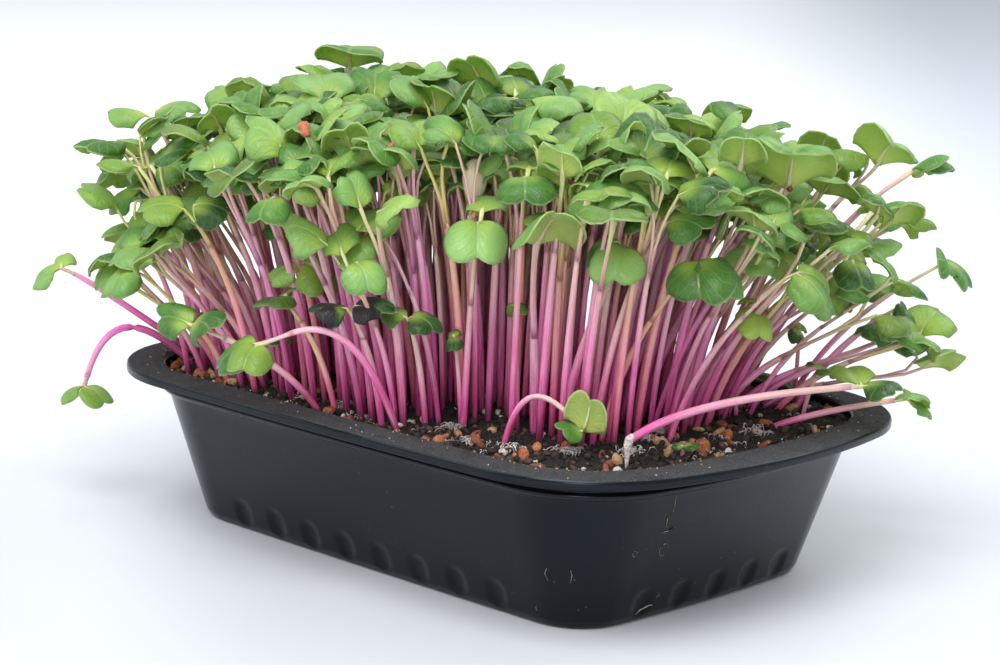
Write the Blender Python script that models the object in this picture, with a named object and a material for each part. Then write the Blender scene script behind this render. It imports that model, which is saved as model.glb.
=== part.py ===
"""Radish microgreens growing in a thermoformed tray.

Metres, +Z up. The origin is the middle of the tray's underside, +X runs along the
tray's length and +Y along its width. The tray, the block of growing soil and each
seedling are separate closed solids.
"""
import math

import bmesh
import bpy
from mathutils import Matrix, Vector

MM = 0.001
GAP = 0.4 * MM

# The tray: a rounded rectangle with gently bowed sides, widest at the rim.
RIM_LENGTH = 200 * MM
RIM_WIDTH = 145 * MM
RIM_CORNER = 39 * MM
END_BOW = 3.8 * MM
SIDE_BOW = 1.2 * MM
BOW_LOSS = 0.6
END_STEPS = 4
SIDE_STEPS = 6
CORNER_STEPS = 6
BASE_INSET = 23.4 * MM

# Outside of the tray from the base upwards: inset from the rim's edge, height.
OUTER_PROFILE = (
    (28.0, 0.0), (25.6, 0.0), (24.3, 0.6), (23.2, 2.2), (22.2, 5.2), (17.1, 21.0),
    (12.1, 36.6), (10.6, 37.5), (10.1, 43.1), (9.3, 43.9), (1.1, 43.9), (0.9, 42.4),
    (0.1, 42.3), (0.0, 44.2), (0.5, 44.9),
)
# Inside of the tray from the flange down to the floor.
INNER_PROFILE = (
    (1.4, 45.0), (10.0, 45.0), (11.0, 44.3), (11.6, 38.0), (13.1, 37.0), (18.1, 21.4),
    (23.2, 5.4), (24.4, 2.7), (25.6, 1.4), (28.0, 1.0),
)

# Flutes pressed into the foot of the wall.
FLUTE_WIDTH = 5.6 * MM
FLUTE_HEIGHT = 8.4 * MM
FLUTE_DEPTH = 0.55 * MM
FLUTE_PITCH = 14.0 * MM
FLUTES_ALONG_SIDE = 8
FLUTES_ALONG_END = 5
FLUTE_BULGE = 1.8 * MM
FLUTE_INSET = 22.6 * MM
FLUTE_LEVEL = 4.0 * MM
WALL_LEAN = math.atan2(10.1, 31.4)

# The soil fills the tray to just below the flange.
SOIL_LEVEL = 42.8 * MM
SOIL_CROWN = 0.6 * MM
SOIL_WAVE = 0.25 * MM
SOIL_WAVE_LENGTH = 15 * MM
# Side of the soil block from the floor upwards: inset from the rim's edge, height.
SOIL_PROFILE = (
    (28.0, 1.4), (26.0, 1.9), (25.0, 3.1), (18.7, 21.4), (13.7, 37.2), (12.2, 38.4),
    (11.9, 41.4),
)
SOIL_INSETS = (2.0, 9.0, 13.0, 13.0)

# A seedling's stem and leaf stalks.
STEM_RADIUS = 1.2 * MM
STALK_HALF_WIDTH = 0.8 * MM
STALK_THICKNESS = 1.0 * MM
STALK_SPREAD = 0.35
BLADE_LENGTH = 0.85
BLADE_THICKNESS = 0.7 * MM
STEM_STEPS = 4
STALK_STEPS = 2
BLADE_STATIONS = (0.22, 0.5, 0.8, 1.0)

# How a leaf is held: the climb of its base, how far it bends down by the tip, and
# how far each half folds down beside the midrib, all in degrees.
HOLD = {
    "fan": (72, 50, 10),
    "upright": (78, 15, 25),
    "raised": (48, 30, 15),
    "wing": (18, 50, 30),
    "hang": (-15, 45, 20),
}

# The seedlings that stand out. Root on the soil, points that the stem passes, the
# fork where the two leaf stalks part, the stalks' length, and the two leaves: how
# each is held, the way it points seen from above in degrees from +X, and its width.
SEEDLINGS = (
    ("tall_back", (-55, 1), (), (-64, 2, 114), 10, ("fan", 315, 21), ("fan", 135, 20)),
    ("broad_back", (-9, 40), (), (-4, 44, 110), 9, ("raised", 15, 24), ("raised", 205, 18)),
    ("upright_mid", (-21, -6), (), (-21, -6, 108), 9, ("upright", 285, 17), ("upright", 15, 17)),
    ("oblique_mid", (-1, 6), (), (-1, 6, 112), 12, ("wing", 35, 23), ("wing", 235, 17)),
    ("long_fork", (41, -30), (), (43, -34, 70), 27, ("fan", 335, 24), ("raised", 105, 15)),
    ("kidney_front", (25, -40), (), (29, -43, 77), 18, ("hang", 315, 20), ("raised", 120, 14)),
    ("round_front", (57, -22), (), (68, -17, 76), 20, ("hang", 315, 21), ("hang", 5, 18)),
    ("folded_front", (50, -30), (), (59, -28, 78), 20, ("hang", 295, 18), ("hang", 245, 15)),
    ("heart_right", (68, -8), (), (83, 1, 77), 18, ("hang", 5, 18), ("hang", 55, 17)),
    ("low_yellow", (60, 10), (), (69, 13, 65), 14, ("hang", 315, 15), ("wing", 135, 12)),
    ("fan_right", (49, 2), (), (71, 12, 94), 20, ("fan", 315, 26), ("fan", 135, 22)),
    ("round_right", (58, -3), (), (77, 7, 90), 20, ("wing", 25, 16), ("wing", 255, 13)),
    ("tall_right", (47, 43), (), (68, 58, 99), 16, ("fan", 335, 20), ("wing", 235, 18)),
    ("edge_top", (42, 56), (), (68, 75, 99), 14, ("raised", 35, 15), ("wing", 65, 16)),
    ("brown_right", (50, 44), (), (72, 61, 87), 12, ("fan", 345, 18), ("fan", 165, 15)),
    ("edge_mid", (36, 56), (), (60, 80, 84), 14, ("wing", 45, 15), ("wing", 255, 13)),
    ("edge_out", (58, 56), (), (73, 84, 74), 15, ("hang", 45, 15), ("wing", 315, 12)),
    ("edge_low", (66, 48), (), (79, 66, 68), 7, ("hang", 45, 12), ("hang", 355, 11)),
    ("lying_stem", (79, -37), ((85, -12, 54),), (99, 27, 58), 4, ("raised", 165, 13), ("wing", 15, 14)),
    ("corner_stem", (74, 27), ((84, 34, 47),), (100, 46, 52), 3, ("raised", 345, 12), ("hang", 65, 13)),
    ("arch_left", (17, -56), ((9, -66, 65),), (-1, -78, 68), 9, ("hang", 225, 18), ("hang", 295, 15)),
    ("arch_small", (46, -47), ((51, -43, 56),), (62, -38, 51), 3, ("raised", 10, 13), ("wing", 255, 9)),
    ("short_yellow", (18, -47), (), (18, -53, 69), 4, ("wing", 15, 12), ("wing", 215, 11)),
    ("dark_pair", (11, -56), (), (9, -62, 67), 9, ("wing", 245, 13), ("wing", 15, 13)),
    ("wavy_left", (-12, -57), (), (-26, -79, 63), 9, ("wing", 345, 14), ("wing", 205, 14)),
    ("low_left", (-9, -54), (), (-16, -61, 67), 8, ("wing", 290, 13), ("wing", 110, 12)),
    ("lobed_left", (-11, -44), (), (-17, -54, 74), 9, ("hang", 15, 15), ("hang", 235, 13)),
    ("long_left", (-39, -56), (), (-45, -68, 84), 12, ("wing", 235, 17), ("wing", 25, 15)),
    ("droop_left", (-81, -38), ((-101, -54, 58),), (-110, -64, 66), 4, ("hang", 225, 14), ("raised", 135, 10)),
    ("hang_left", (-80, -44), ((-98, -54, 51),), (-106, -62, 36), 3, ("hang", 235, 12), ("hang", 15, 12)),
    ("cluster_left", (-81, -27), (), (-97, -42, 73), 9, ("wing", 245, 15), ("wing", 15, 14)),
    ("top_left", (-84, -26), (), (-102, -35, 101), 12, ("wing", 225, 17), ("wing", 15, 17)),
    ("pale_mid", (18, -42), (), (14, -50, 78), 18, ("hang", 240, 19), ("raised", 165, 16)),
    ("fan_mid", (18, -32), (), (11, -34, 91), 13, ("fan", 325, 16), ("wing", 205, 14)),
    ("stalk_mid", (34, -30), (), (34, -30, 99), 15, ("wing", 25, 14), ("wing", 245, 13)),
    ("veined_mid", (60, -29), (), (67, -22, 89), 14, ("raised", 135, 18), ("wing", 15, 15)),
    ("wing_left", (-20, -30), (), (-29, -38, 76), 15, ("wing", 5, 17), ("wing", 195, 16)),
    ("fan_left", (-68, -43), (), (-73, -48, 84), 13, ("fan", 315, 18), ("wing", 135, 17)),
)

# A fan of seedlings round the side away from the ones above.
FAR_COUNT = 13
FAR_FIRST_ANGLE = 62
FAR_LAST_ANGLE = 194
FAR_ROOT_RADII = (72, 46)
FAR_LEAN = 16
FAR_HEIGHTS = (88, 100, 94, 106)
FAR_STALK = 14
FAR_LEAF_WIDTH = 16

# Two staggered rows of upright seedlings in the middle of the tray.
MIDDLE_ROWS = ((20, -38), (-21, -52))
MIDDLE_PITCH = 31
MIDDLE_PER_ROW = 3
MIDDLE_HEIGHT = 97
MIDDLE_FACING = 50
MIDDLE_STALK = 12
MIDDLE_LEAF_WIDTH = 15


def clear_scene():
    for old in list(bpy.data.objects):
        bpy.data.objects.remove(old, do_unlink=True)


def material(name, colour, roughness):
    """A plain Principled surface in the sub-part's own colour."""
    surface = bpy.data.materials.new(name)
    surface.use_nodes = True
    shader = surface.node_tree.nodes["Principled BSDF"]
    shader.inputs["Base Color"].default_value = (*colour, 1.0)
    shader.inputs["Roughness"].default_value = roughness
    shader.inputs["Metallic"].default_value = 0.0
    return surface


def add_object(name, bm, surface):
    """Close the bmesh into a named, smooth-shaded object at the origin."""
    bmesh.ops.recalc_face_normals(bm, faces=bm.faces)
    mesh = bpy.data.meshes.new(name)
    bm.to_mesh(mesh)
    bm.free()
    mesh.shade_smooth()
    mesh.set_sharp_from_angle(angle=math.radians(40))
    mesh.materials.append(surface)
    body = bpy.data.objects.new(name, mesh)
    bpy.context.collection.objects.link(body)
    return body


# ---- the tray -----------------------------------------------------------------

def arc(centre, radius, first, last, steps):
    """Points along an arc, without its last one."""
    points = []
    for step in range(steps):
        angle = first + (last - first) * step / steps
        points.append((centre[0] + radius * math.cos(angle), centre[1] + radius * math.sin(angle)))
    return points


def outline(inset):
    """The tray's plan at an inset from the rim: four bowed sides joined by round corners.

    Each bow is an arc that runs smoothly into the corner arcs. The plan is worked out
    for half a turn, and the other half is the same points turned about the origin.
    """
    corner = RIM_CORNER - inset
    centre_x = RIM_LENGTH / 2 - inset - corner
    centre_y = RIM_WIDTH / 2 - inset - corner
    bow_share = 1 - BOW_LOSS * inset / BASE_INSET
    end_reach = centre_y ** 2 / (2 * END_BOW * bow_share)
    side_reach = centre_x ** 2 / (2 * SIDE_BOW * bow_share)
    end_angle = math.atan2(centre_y, end_reach)
    side_angle = math.atan2(centre_x, side_reach)
    end_radius = math.hypot(end_reach, centre_y) + corner
    side_radius = math.hypot(side_reach, centre_x) + corner
    square = math.pi / 2
    half = arc((centre_x - end_reach, 0), end_radius, -end_angle, end_angle, END_STEPS)
    half += arc((centre_x, centre_y), corner, end_angle, square - side_angle, CORNER_STEPS)
    half += arc((0, centre_y - side_reach), side_radius, square - side_angle,
                square + side_angle, SIDE_STEPS)
    half += arc((-centre_x, centre_y), corner, square + side_angle,
                2 * square - end_angle, CORNER_STEPS)
    return half + [(-x, -y) for x, y in half]


def ring(bm, inset, height):
    """A closed loop of edges along the plan outline, at one height."""
    verts = [bm.verts.new((x, y, height)) for x, y in outline(inset)]
    edges = [bm.edges.new((verts[i - 1], verts[i])) for i in range(len(verts))]
    return edges


def loft(bm, profile):
    """Bridge plan outlines along a profile of insets and heights; returns the loops."""
    loops = [ring(bm, inset * MM, height * MM) for inset, height in profile]
    for below, above in zip(loops, loops[1:]):
        bmesh.ops.bridge_loops(bm, edges=below + above)
    return loops


def turned(bm, angle, axis):
    """Turn everything in the bmesh about an axis through the origin."""
    bmesh.ops.rotate(bm, cent=(0, 0, 0), matrix=Matrix.Rotation(angle, 3, axis), verts=bm.verts)


def flute_cutter(place, facing):
    """A long bead lying against the foot of a wall, sunk in by the flute's depth."""
    bm = bmesh.new()
    bmesh.ops.create_uvsphere(bm, u_segments=8, v_segments=6, radius=1.0)
    size = (FLUTE_BULGE, FLUTE_WIDTH / 2, FLUTE_HEIGHT / 2)
    bmesh.ops.scale(bm, vec=size, verts=bm.verts)
    turned(bm, WALL_LEAN, "Y")
    turned(bm, facing, "Z")
    centre = Vector(place) + heading(math.degrees(facing)) * (FLUTE_BULGE - FLUTE_DEPTH)
    bmesh.ops.translate(bm, vec=centre, verts=bm.verts)
    return bm


def flute_places():
    """Where the flutes sit round the foot of the wall, and the way each faces."""
    inset = FLUTE_INSET
    edge = outline(inset)
    reach_x = max(x for x, y in edge)
    reach_y = max(y for x, y in edge)
    places = []
    for turn in (0, math.pi):
        way = math.cos(turn)
        for i in range(FLUTES_ALONG_SIDE):
            x = (i - (FLUTES_ALONG_SIDE - 1) / 2) * FLUTE_PITCH
            y = -reach_y + (x / (RIM_LENGTH / 2)) ** 2 * SIDE_BOW
            places.append(((x * way, y * way, FLUTE_LEVEL), turn - math.pi / 2))
        for i in range(FLUTES_ALONG_END):
            y = (i - (FLUTES_ALONG_END - 1) / 2) * FLUTE_PITCH
            x = reach_x - (y / (RIM_WIDTH / 2)) ** 2 * END_BOW
            places.append(((x * way, y * way, FLUTE_LEVEL), turn))
    return places


def build_tray(surface):
    bm = bmesh.new()
    loops = loft(bm, OUTER_PROFILE + INNER_PROFILE)
    bmesh.ops.edgeloop_fill(bm, edges=loops[0])
    bmesh.ops.edgeloop_fill(bm, edges=loops[-1])
    tray = add_object("tray", bm, surface)
    for number, (place, facing) in enumerate(flute_places()):
        cutter = add_object(f"flute_cutter_{number:02d}", flute_cutter(place, facing), surface)
        cutter.hide_render = True
        cutter.display_type = "WIRE"
        cut = tray.modifiers.new(cutter.name, "BOOLEAN")
        cut.operation = "DIFFERENCE"
        cut.solver = "EXACT"
        cut.object = cutter
    return tray


# ---- the soil -----------------------------------------------------------------

def soil_height(x, y):
    """The soil is crowned a little in the middle and gently uneven."""
    wave = SOIL_WAVE * math.sin(x / SOIL_WAVE_LENGTH) * math.cos(y / SOIL_WAVE_LENGTH)
    crown = SOIL_CROWN * math.cos(x * math.pi / RIM_LENGTH) * math.cos(y * math.pi / RIM_WIDTH)
    return SOIL_LEVEL + crown + wave


def build_soil(surface):
    """A block that follows the inside of the tray, under an uneven top."""
    bm = bmesh.new()
    loops = loft(bm, SOIL_PROFILE)
    bmesh.ops.edgeloop_fill(bm, edges=loops[0])
    top = bmesh.ops.edgeloop_fill(bm, edges=loops[-1])["faces"]
    for step in SOIL_INSETS:
        bmesh.ops.inset_region(bm, faces=top, thickness=step * MM, use_even_offset=False)
        for vert in top[0].verts:
            vert.co.z = soil_height(vert.co.x, vert.co.y)
    return add_object("soil", bm, surface)


# ---- a seedling ---------------------------------------------------------------

def heading(degrees):
    """A level direction, by its angle from +X."""
    return Vector((math.cos(math.radians(degrees)), math.sin(math.radians(degrees)), 0))


def bend(points, share):
    """A point on the Bezier curve with the given control points."""
    layer = list(points)
    while len(layer) > 1:
        layer = [a.lerp(b, share) for a, b in zip(layer, layer[1:])]
    return layer[0]


def course(points, share):
    """The direction of that curve."""
    ahead = bend(points, min(share + 0.01, 1.0))
    return (ahead - bend(points, max(share - 0.01, 0.0))).normalized()


def square_to(vector, axis):
    """The part of a vector that is square to an axis, at unit length."""
    return (vector - axis * vector.dot(axis)).normalized()


def grow(bm, face, places):
    """Extrude a face and put its corners at new places, in the same order."""
    cap = bmesh.ops.extrude_discrete_faces(bm, faces=[face])["faces"][0]
    for vert, place in zip(cap.verts, places):
        vert.co = place
    return cap


def leaf_shape(share):
    """A seed leaf's half width along its midrib, as a share of the widest."""
    return math.sin(0.9 * math.pi * share ** 1.1) ** 0.7


def grow_leaf(bm, face, roles, fork, along, stalk, leaf, across):
    """Grow one leaf stalk and its blade from half of the stem's end face.

    roles gives each corner's place in the section: its share of the half width, and
    its share of the thickness above the middle.
    """
    hold, facing, width = leaf
    climb, droop, fold = (math.radians(angle) for angle in HOLD[hold])
    out = heading(facing)
    up = Vector((0, 0, 1))
    base_course = out * math.cos(climb) + up * math.sin(climb)
    base = fork + (along + out * STALK_SPREAD).normalized() * stalk
    path = (fork, fork + along * stalk * 0.4, base - base_course * stalk * 0.35, base)
    side = out.cross(up)

    def section(centre, forward, crossing, half_width, thickness, folded):
        upper = crossing.cross(forward)
        places = []
        for share, lift in roles:
            drop = abs(share) * half_width * math.sin(folded)
            reach = share * half_width * math.cos(folded)
            places.append(centre + crossing * reach + upper * (lift * thickness - drop))
        return places

    for step in range(1, STALK_STEPS + 1):
        share = step / STALK_STEPS
        forward = course(path, share)
        crossing = square_to(across.lerp(side, share), forward)
        places = section(bend(path, share), forward, crossing, STALK_HALF_WIDTH, STALK_THICKNESS, 0)
        face = grow(bm, face, places)
    centre = base
    last = 0
    length = BLADE_LENGTH * width * MM
    for station in BLADE_STATIONS:
        angle = climb - droop * ((station + last) / 2) ** 1.3
        centre = centre + (out * math.cos(angle) + up * math.sin(angle)) * length * (station - last)
        last = station
        angle = climb - droop * station ** 1.3
        forward = out * math.cos(angle) + up * math.sin(angle)
        half_width = leaf_shape(station) * width * MM / 2
        face = grow(bm, face, section(centre, forward, side, half_width, BLADE_THICKNESS, fold))


def build_seedling(name, root, passes, fork, stalk, first_leaf, second_leaf, surface):
    """One closed body: a six-sided stem that forks into two stalks with a leaf each."""
    foot = Vector((root[0] * MM, root[1] * MM, 0))
    foot.z = soil_height(foot.x, foot.y) + GAP
    fork = Vector(fork) * MM
    rise = fork - foot
    turning = foot + Vector((rise.x * 0.3, rise.y * 0.3, rise.z * 0.6))
    if passes:
        turning = Vector(passes[0]) * MM * 2 - (foot + fork) / 2
    path = (foot, turning, fork)
    apart = heading(first_leaf[1]) - heading(second_leaf[1])

    bm = bmesh.new()
    bmesh.ops.create_circle(bm, cap_ends=True, segments=6, radius=1.0)
    face = bm.faces[:][0]
    corners = [(vert.co.x, vert.co.y) for vert in face.verts]
    for step in range(STEM_STEPS + 1):
        share = step / STEM_STEPS
        forward = course(path, share) if step else Vector((0, 0, 1))
        split = square_to(apart, forward)
        line = forward.cross(split)
        radius = STEM_RADIUS
        places = [bend(path, share) + (split * x + line * y) * radius for x, y in corners]
        if step == 0:
            for vert, place in zip(face.verts, places):
                vert.co = place
        else:
            face = grow(bm, face, places)
    ends = [vert for vert, (x, y) in zip(face.verts, corners) if abs(x) < 0.01]
    divide = bmesh.ops.connect_verts(bm, verts=ends)["edges"][0]
    halves = list(divide.link_faces)
    middle = bmesh.utils.edge_split(divide, divide.verts[0], 0.5)[1]
    for half in halves:
        away = 1 if (half.calc_center_median() - fork).dot(split) > 0 else -1
        across = line * -away
        roles = []
        for vert in half.verts:
            if vert is middle:
                roles.append((0.0, 0.5))
            elif vert in ends:
                roles.append((1.0 if (vert.co - fork).dot(across) > 0 else -1.0, 0.0))
            else:
                roles.append((0.5 if (vert.co - fork).dot(across) > 0 else -0.5, -0.5))
        leaf = first_leaf if away > 0 else second_leaf
        grow_leaf(bm, half, roles, fork, forward, stalk * MM, leaf, across)
    bmesh.ops.holes_fill(bm, edges=[edge for edge in bm.edges if edge.is_boundary])
    return add_object("seedling_" + name, bm, surface)


def far_seedlings():
    """Seedlings leaning outwards in an even fan round the far side of the tray."""
    plan = []
    for i in range(FAR_COUNT):
        angle = FAR_FIRST_ANGLE + (FAR_LAST_ANGLE - FAR_FIRST_ANGLE) * i / (FAR_COUNT - 1)
        out = heading(angle)
        root = (out.x * FAR_ROOT_RADII[0], out.y * FAR_ROOT_RADII[1])
        fork = (root[0] + out.x * FAR_LEAN, root[1] + out.y * FAR_LEAN, FAR_HEIGHTS[i % len(FAR_HEIGHTS)])
        leaves = (("wing", angle, FAR_LEAF_WIDTH), ("wing", angle + 180, FAR_LEAF_WIDTH))
        plan.append((f"far_{i:02d}", root, (), fork, FAR_STALK, *leaves))
    return plan


def middle_seedlings():
    """Upright seedlings in staggered rows, which carry the top of the canopy."""
    plan = []
    for y, first_x in MIDDLE_ROWS:
        for i in range(MIDDLE_PER_ROW):
            root = (first_x + i * MIDDLE_PITCH, y)
            leaves = [("wing", MIDDLE_FACING + turn, MIDDLE_LEAF_WIDTH) for turn in (0, 180)]
            name = f"middle_{len(plan):02d}"
            plan.append((name, root, (), (*root, MIDDLE_HEIGHT), MIDDLE_STALK, *leaves))
    return plan


def main():
    clear_scene()
    build_tray(material("tray_plastic", (0.022, 0.024, 0.028), 0.38))
    build_soil(material("growing_soil", (0.035, 0.022, 0.014), 0.95))
    green = material("seedling_green", (0.16, 0.30, 0.06), 0.5)
    for plan in [*SEEDLINGS, *far_seedlings(), *middle_seedlings()]:
        build_seedling(*plan, green)


main()
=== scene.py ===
# %% [markdown]
# # Radish microgreens in a black tray
#
# The real object is a thin black plastic tray of dark growing soil, with a few hundred
# radish seedlings standing in it. Each seedling is one magenta stem that forks into two
# stalks, and each stalk carries one kidney-shaped seed leaf.
#
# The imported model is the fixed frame: it says where the tray, the soil and the named
# seedlings are, in metres, with +Z up. Everything below is built around it.

# %% The fixed frame
import math
import random

import bmesh
import bpy
from mathutils import Matrix, Vector, noise
from mathutils.bvhtree import BVHTree


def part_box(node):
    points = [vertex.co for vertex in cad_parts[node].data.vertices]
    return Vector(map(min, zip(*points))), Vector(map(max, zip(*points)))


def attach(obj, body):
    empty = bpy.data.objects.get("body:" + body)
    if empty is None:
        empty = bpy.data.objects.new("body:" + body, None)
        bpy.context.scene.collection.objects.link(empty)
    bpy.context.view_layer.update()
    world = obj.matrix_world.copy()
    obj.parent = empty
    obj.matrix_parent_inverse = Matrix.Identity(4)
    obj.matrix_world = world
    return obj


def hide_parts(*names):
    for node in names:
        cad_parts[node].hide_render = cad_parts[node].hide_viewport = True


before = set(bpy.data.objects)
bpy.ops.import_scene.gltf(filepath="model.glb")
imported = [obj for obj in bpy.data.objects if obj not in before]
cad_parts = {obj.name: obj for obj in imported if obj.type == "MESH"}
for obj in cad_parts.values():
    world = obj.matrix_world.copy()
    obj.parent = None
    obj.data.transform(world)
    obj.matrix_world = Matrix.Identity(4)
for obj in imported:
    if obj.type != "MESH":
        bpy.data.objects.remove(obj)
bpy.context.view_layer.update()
MM = 0.001
tray_low, tray_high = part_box("tray")
soil_low, soil_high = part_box("soil")
print("frame:", len(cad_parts), "pieces, tray", [round(v / MM, 1) for v in tray_high - tray_low], "mm")
print("soil from", round(soil_low.z / MM, 1), "to", round(soil_high.z / MM, 1), "mm above the table")

# %% [markdown]
# ## Where the viewer stands
#
# The tray is seen corner-on from a little above. A camera is easiest to aim by angles:
# a turn round the object, a lift above the table and a small roll, then a distance back
# along that line of sight.

# %% Camera
SIGHT_TURN = math.radians(43.26)
SIGHT_LIFT = math.radians(11.27)
SIGHT_ROLL = math.radians(2.2)
SIGHT_DISTANCE = 713.96 * MM
SIGHT_SIDESTEP = -0.62 * MM
SIGHT_RISE = 13.96 * MM
LENS_LENGTH = 92.3

back = Vector((math.sin(SIGHT_TURN) * math.cos(SIGHT_LIFT),
               -math.cos(SIGHT_TURN) * math.cos(SIGHT_LIFT), math.sin(SIGHT_LIFT)))
right = Vector((math.cos(SIGHT_TURN), math.sin(SIGHT_TURN), 0))
above = back.cross(right)
rim_middle = Vector((0, 0, tray_high.z))
axes = (right * math.cos(SIGHT_ROLL) + above * math.sin(SIGHT_ROLL),
        above * math.cos(SIGHT_ROLL) - right * math.sin(SIGHT_ROLL), back)
stand = Matrix(axes).transposed().to_4x4()
stand.translation = (rim_middle + back * SIGHT_DISTANCE + right * SIGHT_SIDESTEP
                     + above * SIGHT_RISE)
camera = bpy.data.objects.new("camera", bpy.data.cameras.new("camera"))
bpy.context.collection.objects.link(camera)
camera.matrix_world = stand
camera.data.lens = LENS_LENGTH
camera.data.clip_start = 0.01
bpy.context.scene.camera = camera
print("camera at", [round(v, 3) for v in stand.translation])

# %% [markdown]
# ## Shader nodes in few words
#
# Every finish here is a small tree of shader nodes. These helpers add one node and fill
# or link its inputs, so that a finish further down reads like a recipe.

# %% Helpers for finishes
def node(tree, kind, inputs=None, **settings):
    """Add a shader node; a socket given as an input is linked, anything else is a value."""
    made = tree.nodes.new("ShaderNode" + kind)
    for name, value in settings.items():
        setattr(made, name, value)
    for name, value in (inputs or {}).items():
        if isinstance(value, bpy.types.NodeSocket):
            tree.links.new(value, made.inputs[name])
        else:
            made.inputs[name].default_value = value
    return made


def attribute(tree, name):
    """The three parts of a vector that each vertex carries."""
    read = node(tree, "Attribute", attribute_name=name).outputs["Vector"]
    return split_up(tree, read)


def split_up(tree, vector):
    return tuple(node(tree, "SeparateXYZ", {0: vector}).outputs)


def join_up(tree, x, y, z):
    return node(tree, "CombineXYZ", {0: x, 1: y, 2: z}).outputs[0]


def object_place(tree):
    """The point's place on the object, in metres."""
    return node(tree, "TexCoord").outputs["Object"]


def calc(tree, operation, a, b=0.0):
    return node(tree, "Math", {0: a, 1: b}, operation=operation).outputs[0]


def times(tree, a, b):
    return calc(tree, "MULTIPLY", a, b)


def plus(tree, a, b):
    return calc(tree, "ADD", a, b)


def minus(tree, a, b):
    return calc(tree, "SUBTRACT", a, b)


def step(tree, value, start, end, low=0.0, high=1.0):
    """A smooth step from low to high as the value goes from start to end."""
    inputs = {"Value": value, "From Min": start, "From Max": end, "To Min": low, "To Max": high}
    return node(tree, "MapRange", inputs, interpolation_type="SMOOTHSTEP").outputs[0]


def mottle(tree, vector, scale, detail=2.0, roughness=0.5):
    """Soft random patches between 0 and 1."""
    inputs = {"Vector": vector, "Scale": scale, "Detail": detail, "Roughness": roughness}
    return node(tree, "TexNoise", inputs).outputs[0]


def cells(tree, vector, scale, feature="F1"):
    """How far a point is from the nearest cell's middle, or from its edge."""
    inputs = {"Vector": vector, "Scale": scale}
    return node(tree, "TexVoronoi", inputs, feature=feature).outputs["Distance"]


def blend(tree, share, first, second, blend_type="MIX"):
    """One colour over another, by a share."""
    made = node(tree, "Mix", {0: share}, data_type="RGBA", blend_type=blend_type)
    for index, colour in ((6, first), (7, second)):
        if isinstance(colour, bpy.types.NodeSocket):
            tree.links.new(colour, made.inputs[index])
        else:
            made.inputs[index].default_value = (*colour, 1.0)
    return made.outputs[2]


def ramp(tree, share, stops):
    """A colour that changes along a row of (place, colour) stops."""
    made = node(tree, "ValToRGB", {0: share})
    elements = made.color_ramp.elements
    while len(elements) < len(stops):
        elements.new(0.5)
    for element, (place, colour) in zip(elements, stops):
        element.position = place
        element.color = (*colour, 1.0)
    return made.outputs[0]


def bump(tree, height, distance, strength=1.0):
    return node(tree, "Bump", {"Height": height, "Distance": distance, "Strength": strength}).outputs[0]


def new_finish(name):
    """An empty material with its Principled shader."""
    made = bpy.data.materials.new(name)
    made.use_nodes = True
    return made, made.node_tree, made.node_tree.nodes["Principled BSDF"]


def fill(tree, shader, inputs):
    """Link or set the sockets of a shader that is already in the tree."""
    for name, value in inputs.items():
        if isinstance(value, bpy.types.NodeSocket):
            tree.links.new(value, shader.inputs[name])
        else:
            shader.inputs[name].default_value = value


print("finish helpers ready")

# %% [markdown]
# ## The table and the light
#
# A pale table runs on past the edge of the picture, so the background is simply table.
# Its tone is painted light and shade, as a studio's light falls on a table: painted shade
# a little darker near the tray and to the right, painted light on the flanks beside the
# tray, and nearly white far behind. The tone is mixed from a point's distance and side.
#
# The light is a soft white surround with one broad lamp high on the viewer's side, weaker
# ones from the left, from low in front and from behind, and one over the far table, as
# in a small studio. The lamp behind lightens the shadow and shines through the leaves.

# %% Table
TABLE_SIZE = 8.0
# painted light and shade on the table: shade near the tray and to the right, light on the flanks and far
# behind
TABLE_NEAR_SHADE = (0.60, 0.62, 0.66)
TABLE_LIT_FLANK = (0.69, 0.715, 0.77)
TABLE_LIT_RIGHT_FLANK = (0.63, 0.655, 0.695)
TABLE_FAR = (0.95, 0.97, 1.0)
TABLE_RIGHT = (0.60, 0.645, 0.71)
# where one tone turns into the next, in metres
RIGHT_TURN = (-0.02, 0.26)
SIDE_TURN = (-0.05, 0.05)
FLANK_BAND = (0.05, 0.11)
FLANK_REACH = (0.165, 0.11)
FAR_TURN = (0.10, 0.75)


def along_table(tree, x, y, way):
    """How far a point lies along a level direction."""
    return plus(tree, times(tree, x, way[0]), times(tree, y, way[1]))


table_finish, tree, shader = new_finish("pale_table")
x, y, z = split_up(tree, object_place(tree))
distance = calc(tree, "SQRT", plus(tree, times(tree, x, x), times(tree, y, y)))
rightwards = along_table(tree, x, y, (0.80, 0.61))
sideways = along_table(tree, x, y, (0.73, 0.69))
far_tone = blend(tree, step(tree, rightwards, *RIGHT_TURN), TABLE_FAR, TABLE_RIGHT)
side_tone = blend(tree, step(tree, sideways, *SIDE_TURN), TABLE_LIT_FLANK, TABLE_LIT_RIGHT_FLANK)
# painted light beside the tray, lifting the tray's shadow on the flanks
painted_light_flank = times(tree, step(tree, calc(tree, "ABSOLUTE", sideways), *FLANK_BAND),
              step(tree, distance, *FLANK_REACH))
near_tone = blend(tree, painted_light_flank, TABLE_NEAR_SHADE, side_tone)
fill(tree, shader, {
    "Base Color": blend(tree, step(tree, distance, *FAR_TURN), near_tone, far_tone),
    "Roughness": 0.75,
})
bm = bmesh.new()
bmesh.ops.create_grid(bm, x_segments=8, y_segments=8, size=TABLE_SIZE / 2)
table_mesh = bpy.data.meshes.new("table")
bm.to_mesh(table_mesh)
bm.free()
table_mesh.materials.append(table_finish)
table = bpy.data.objects.new("table", table_mesh)
bpy.context.collection.objects.link(table)
print("table", TABLE_SIZE, "m wide")

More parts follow.
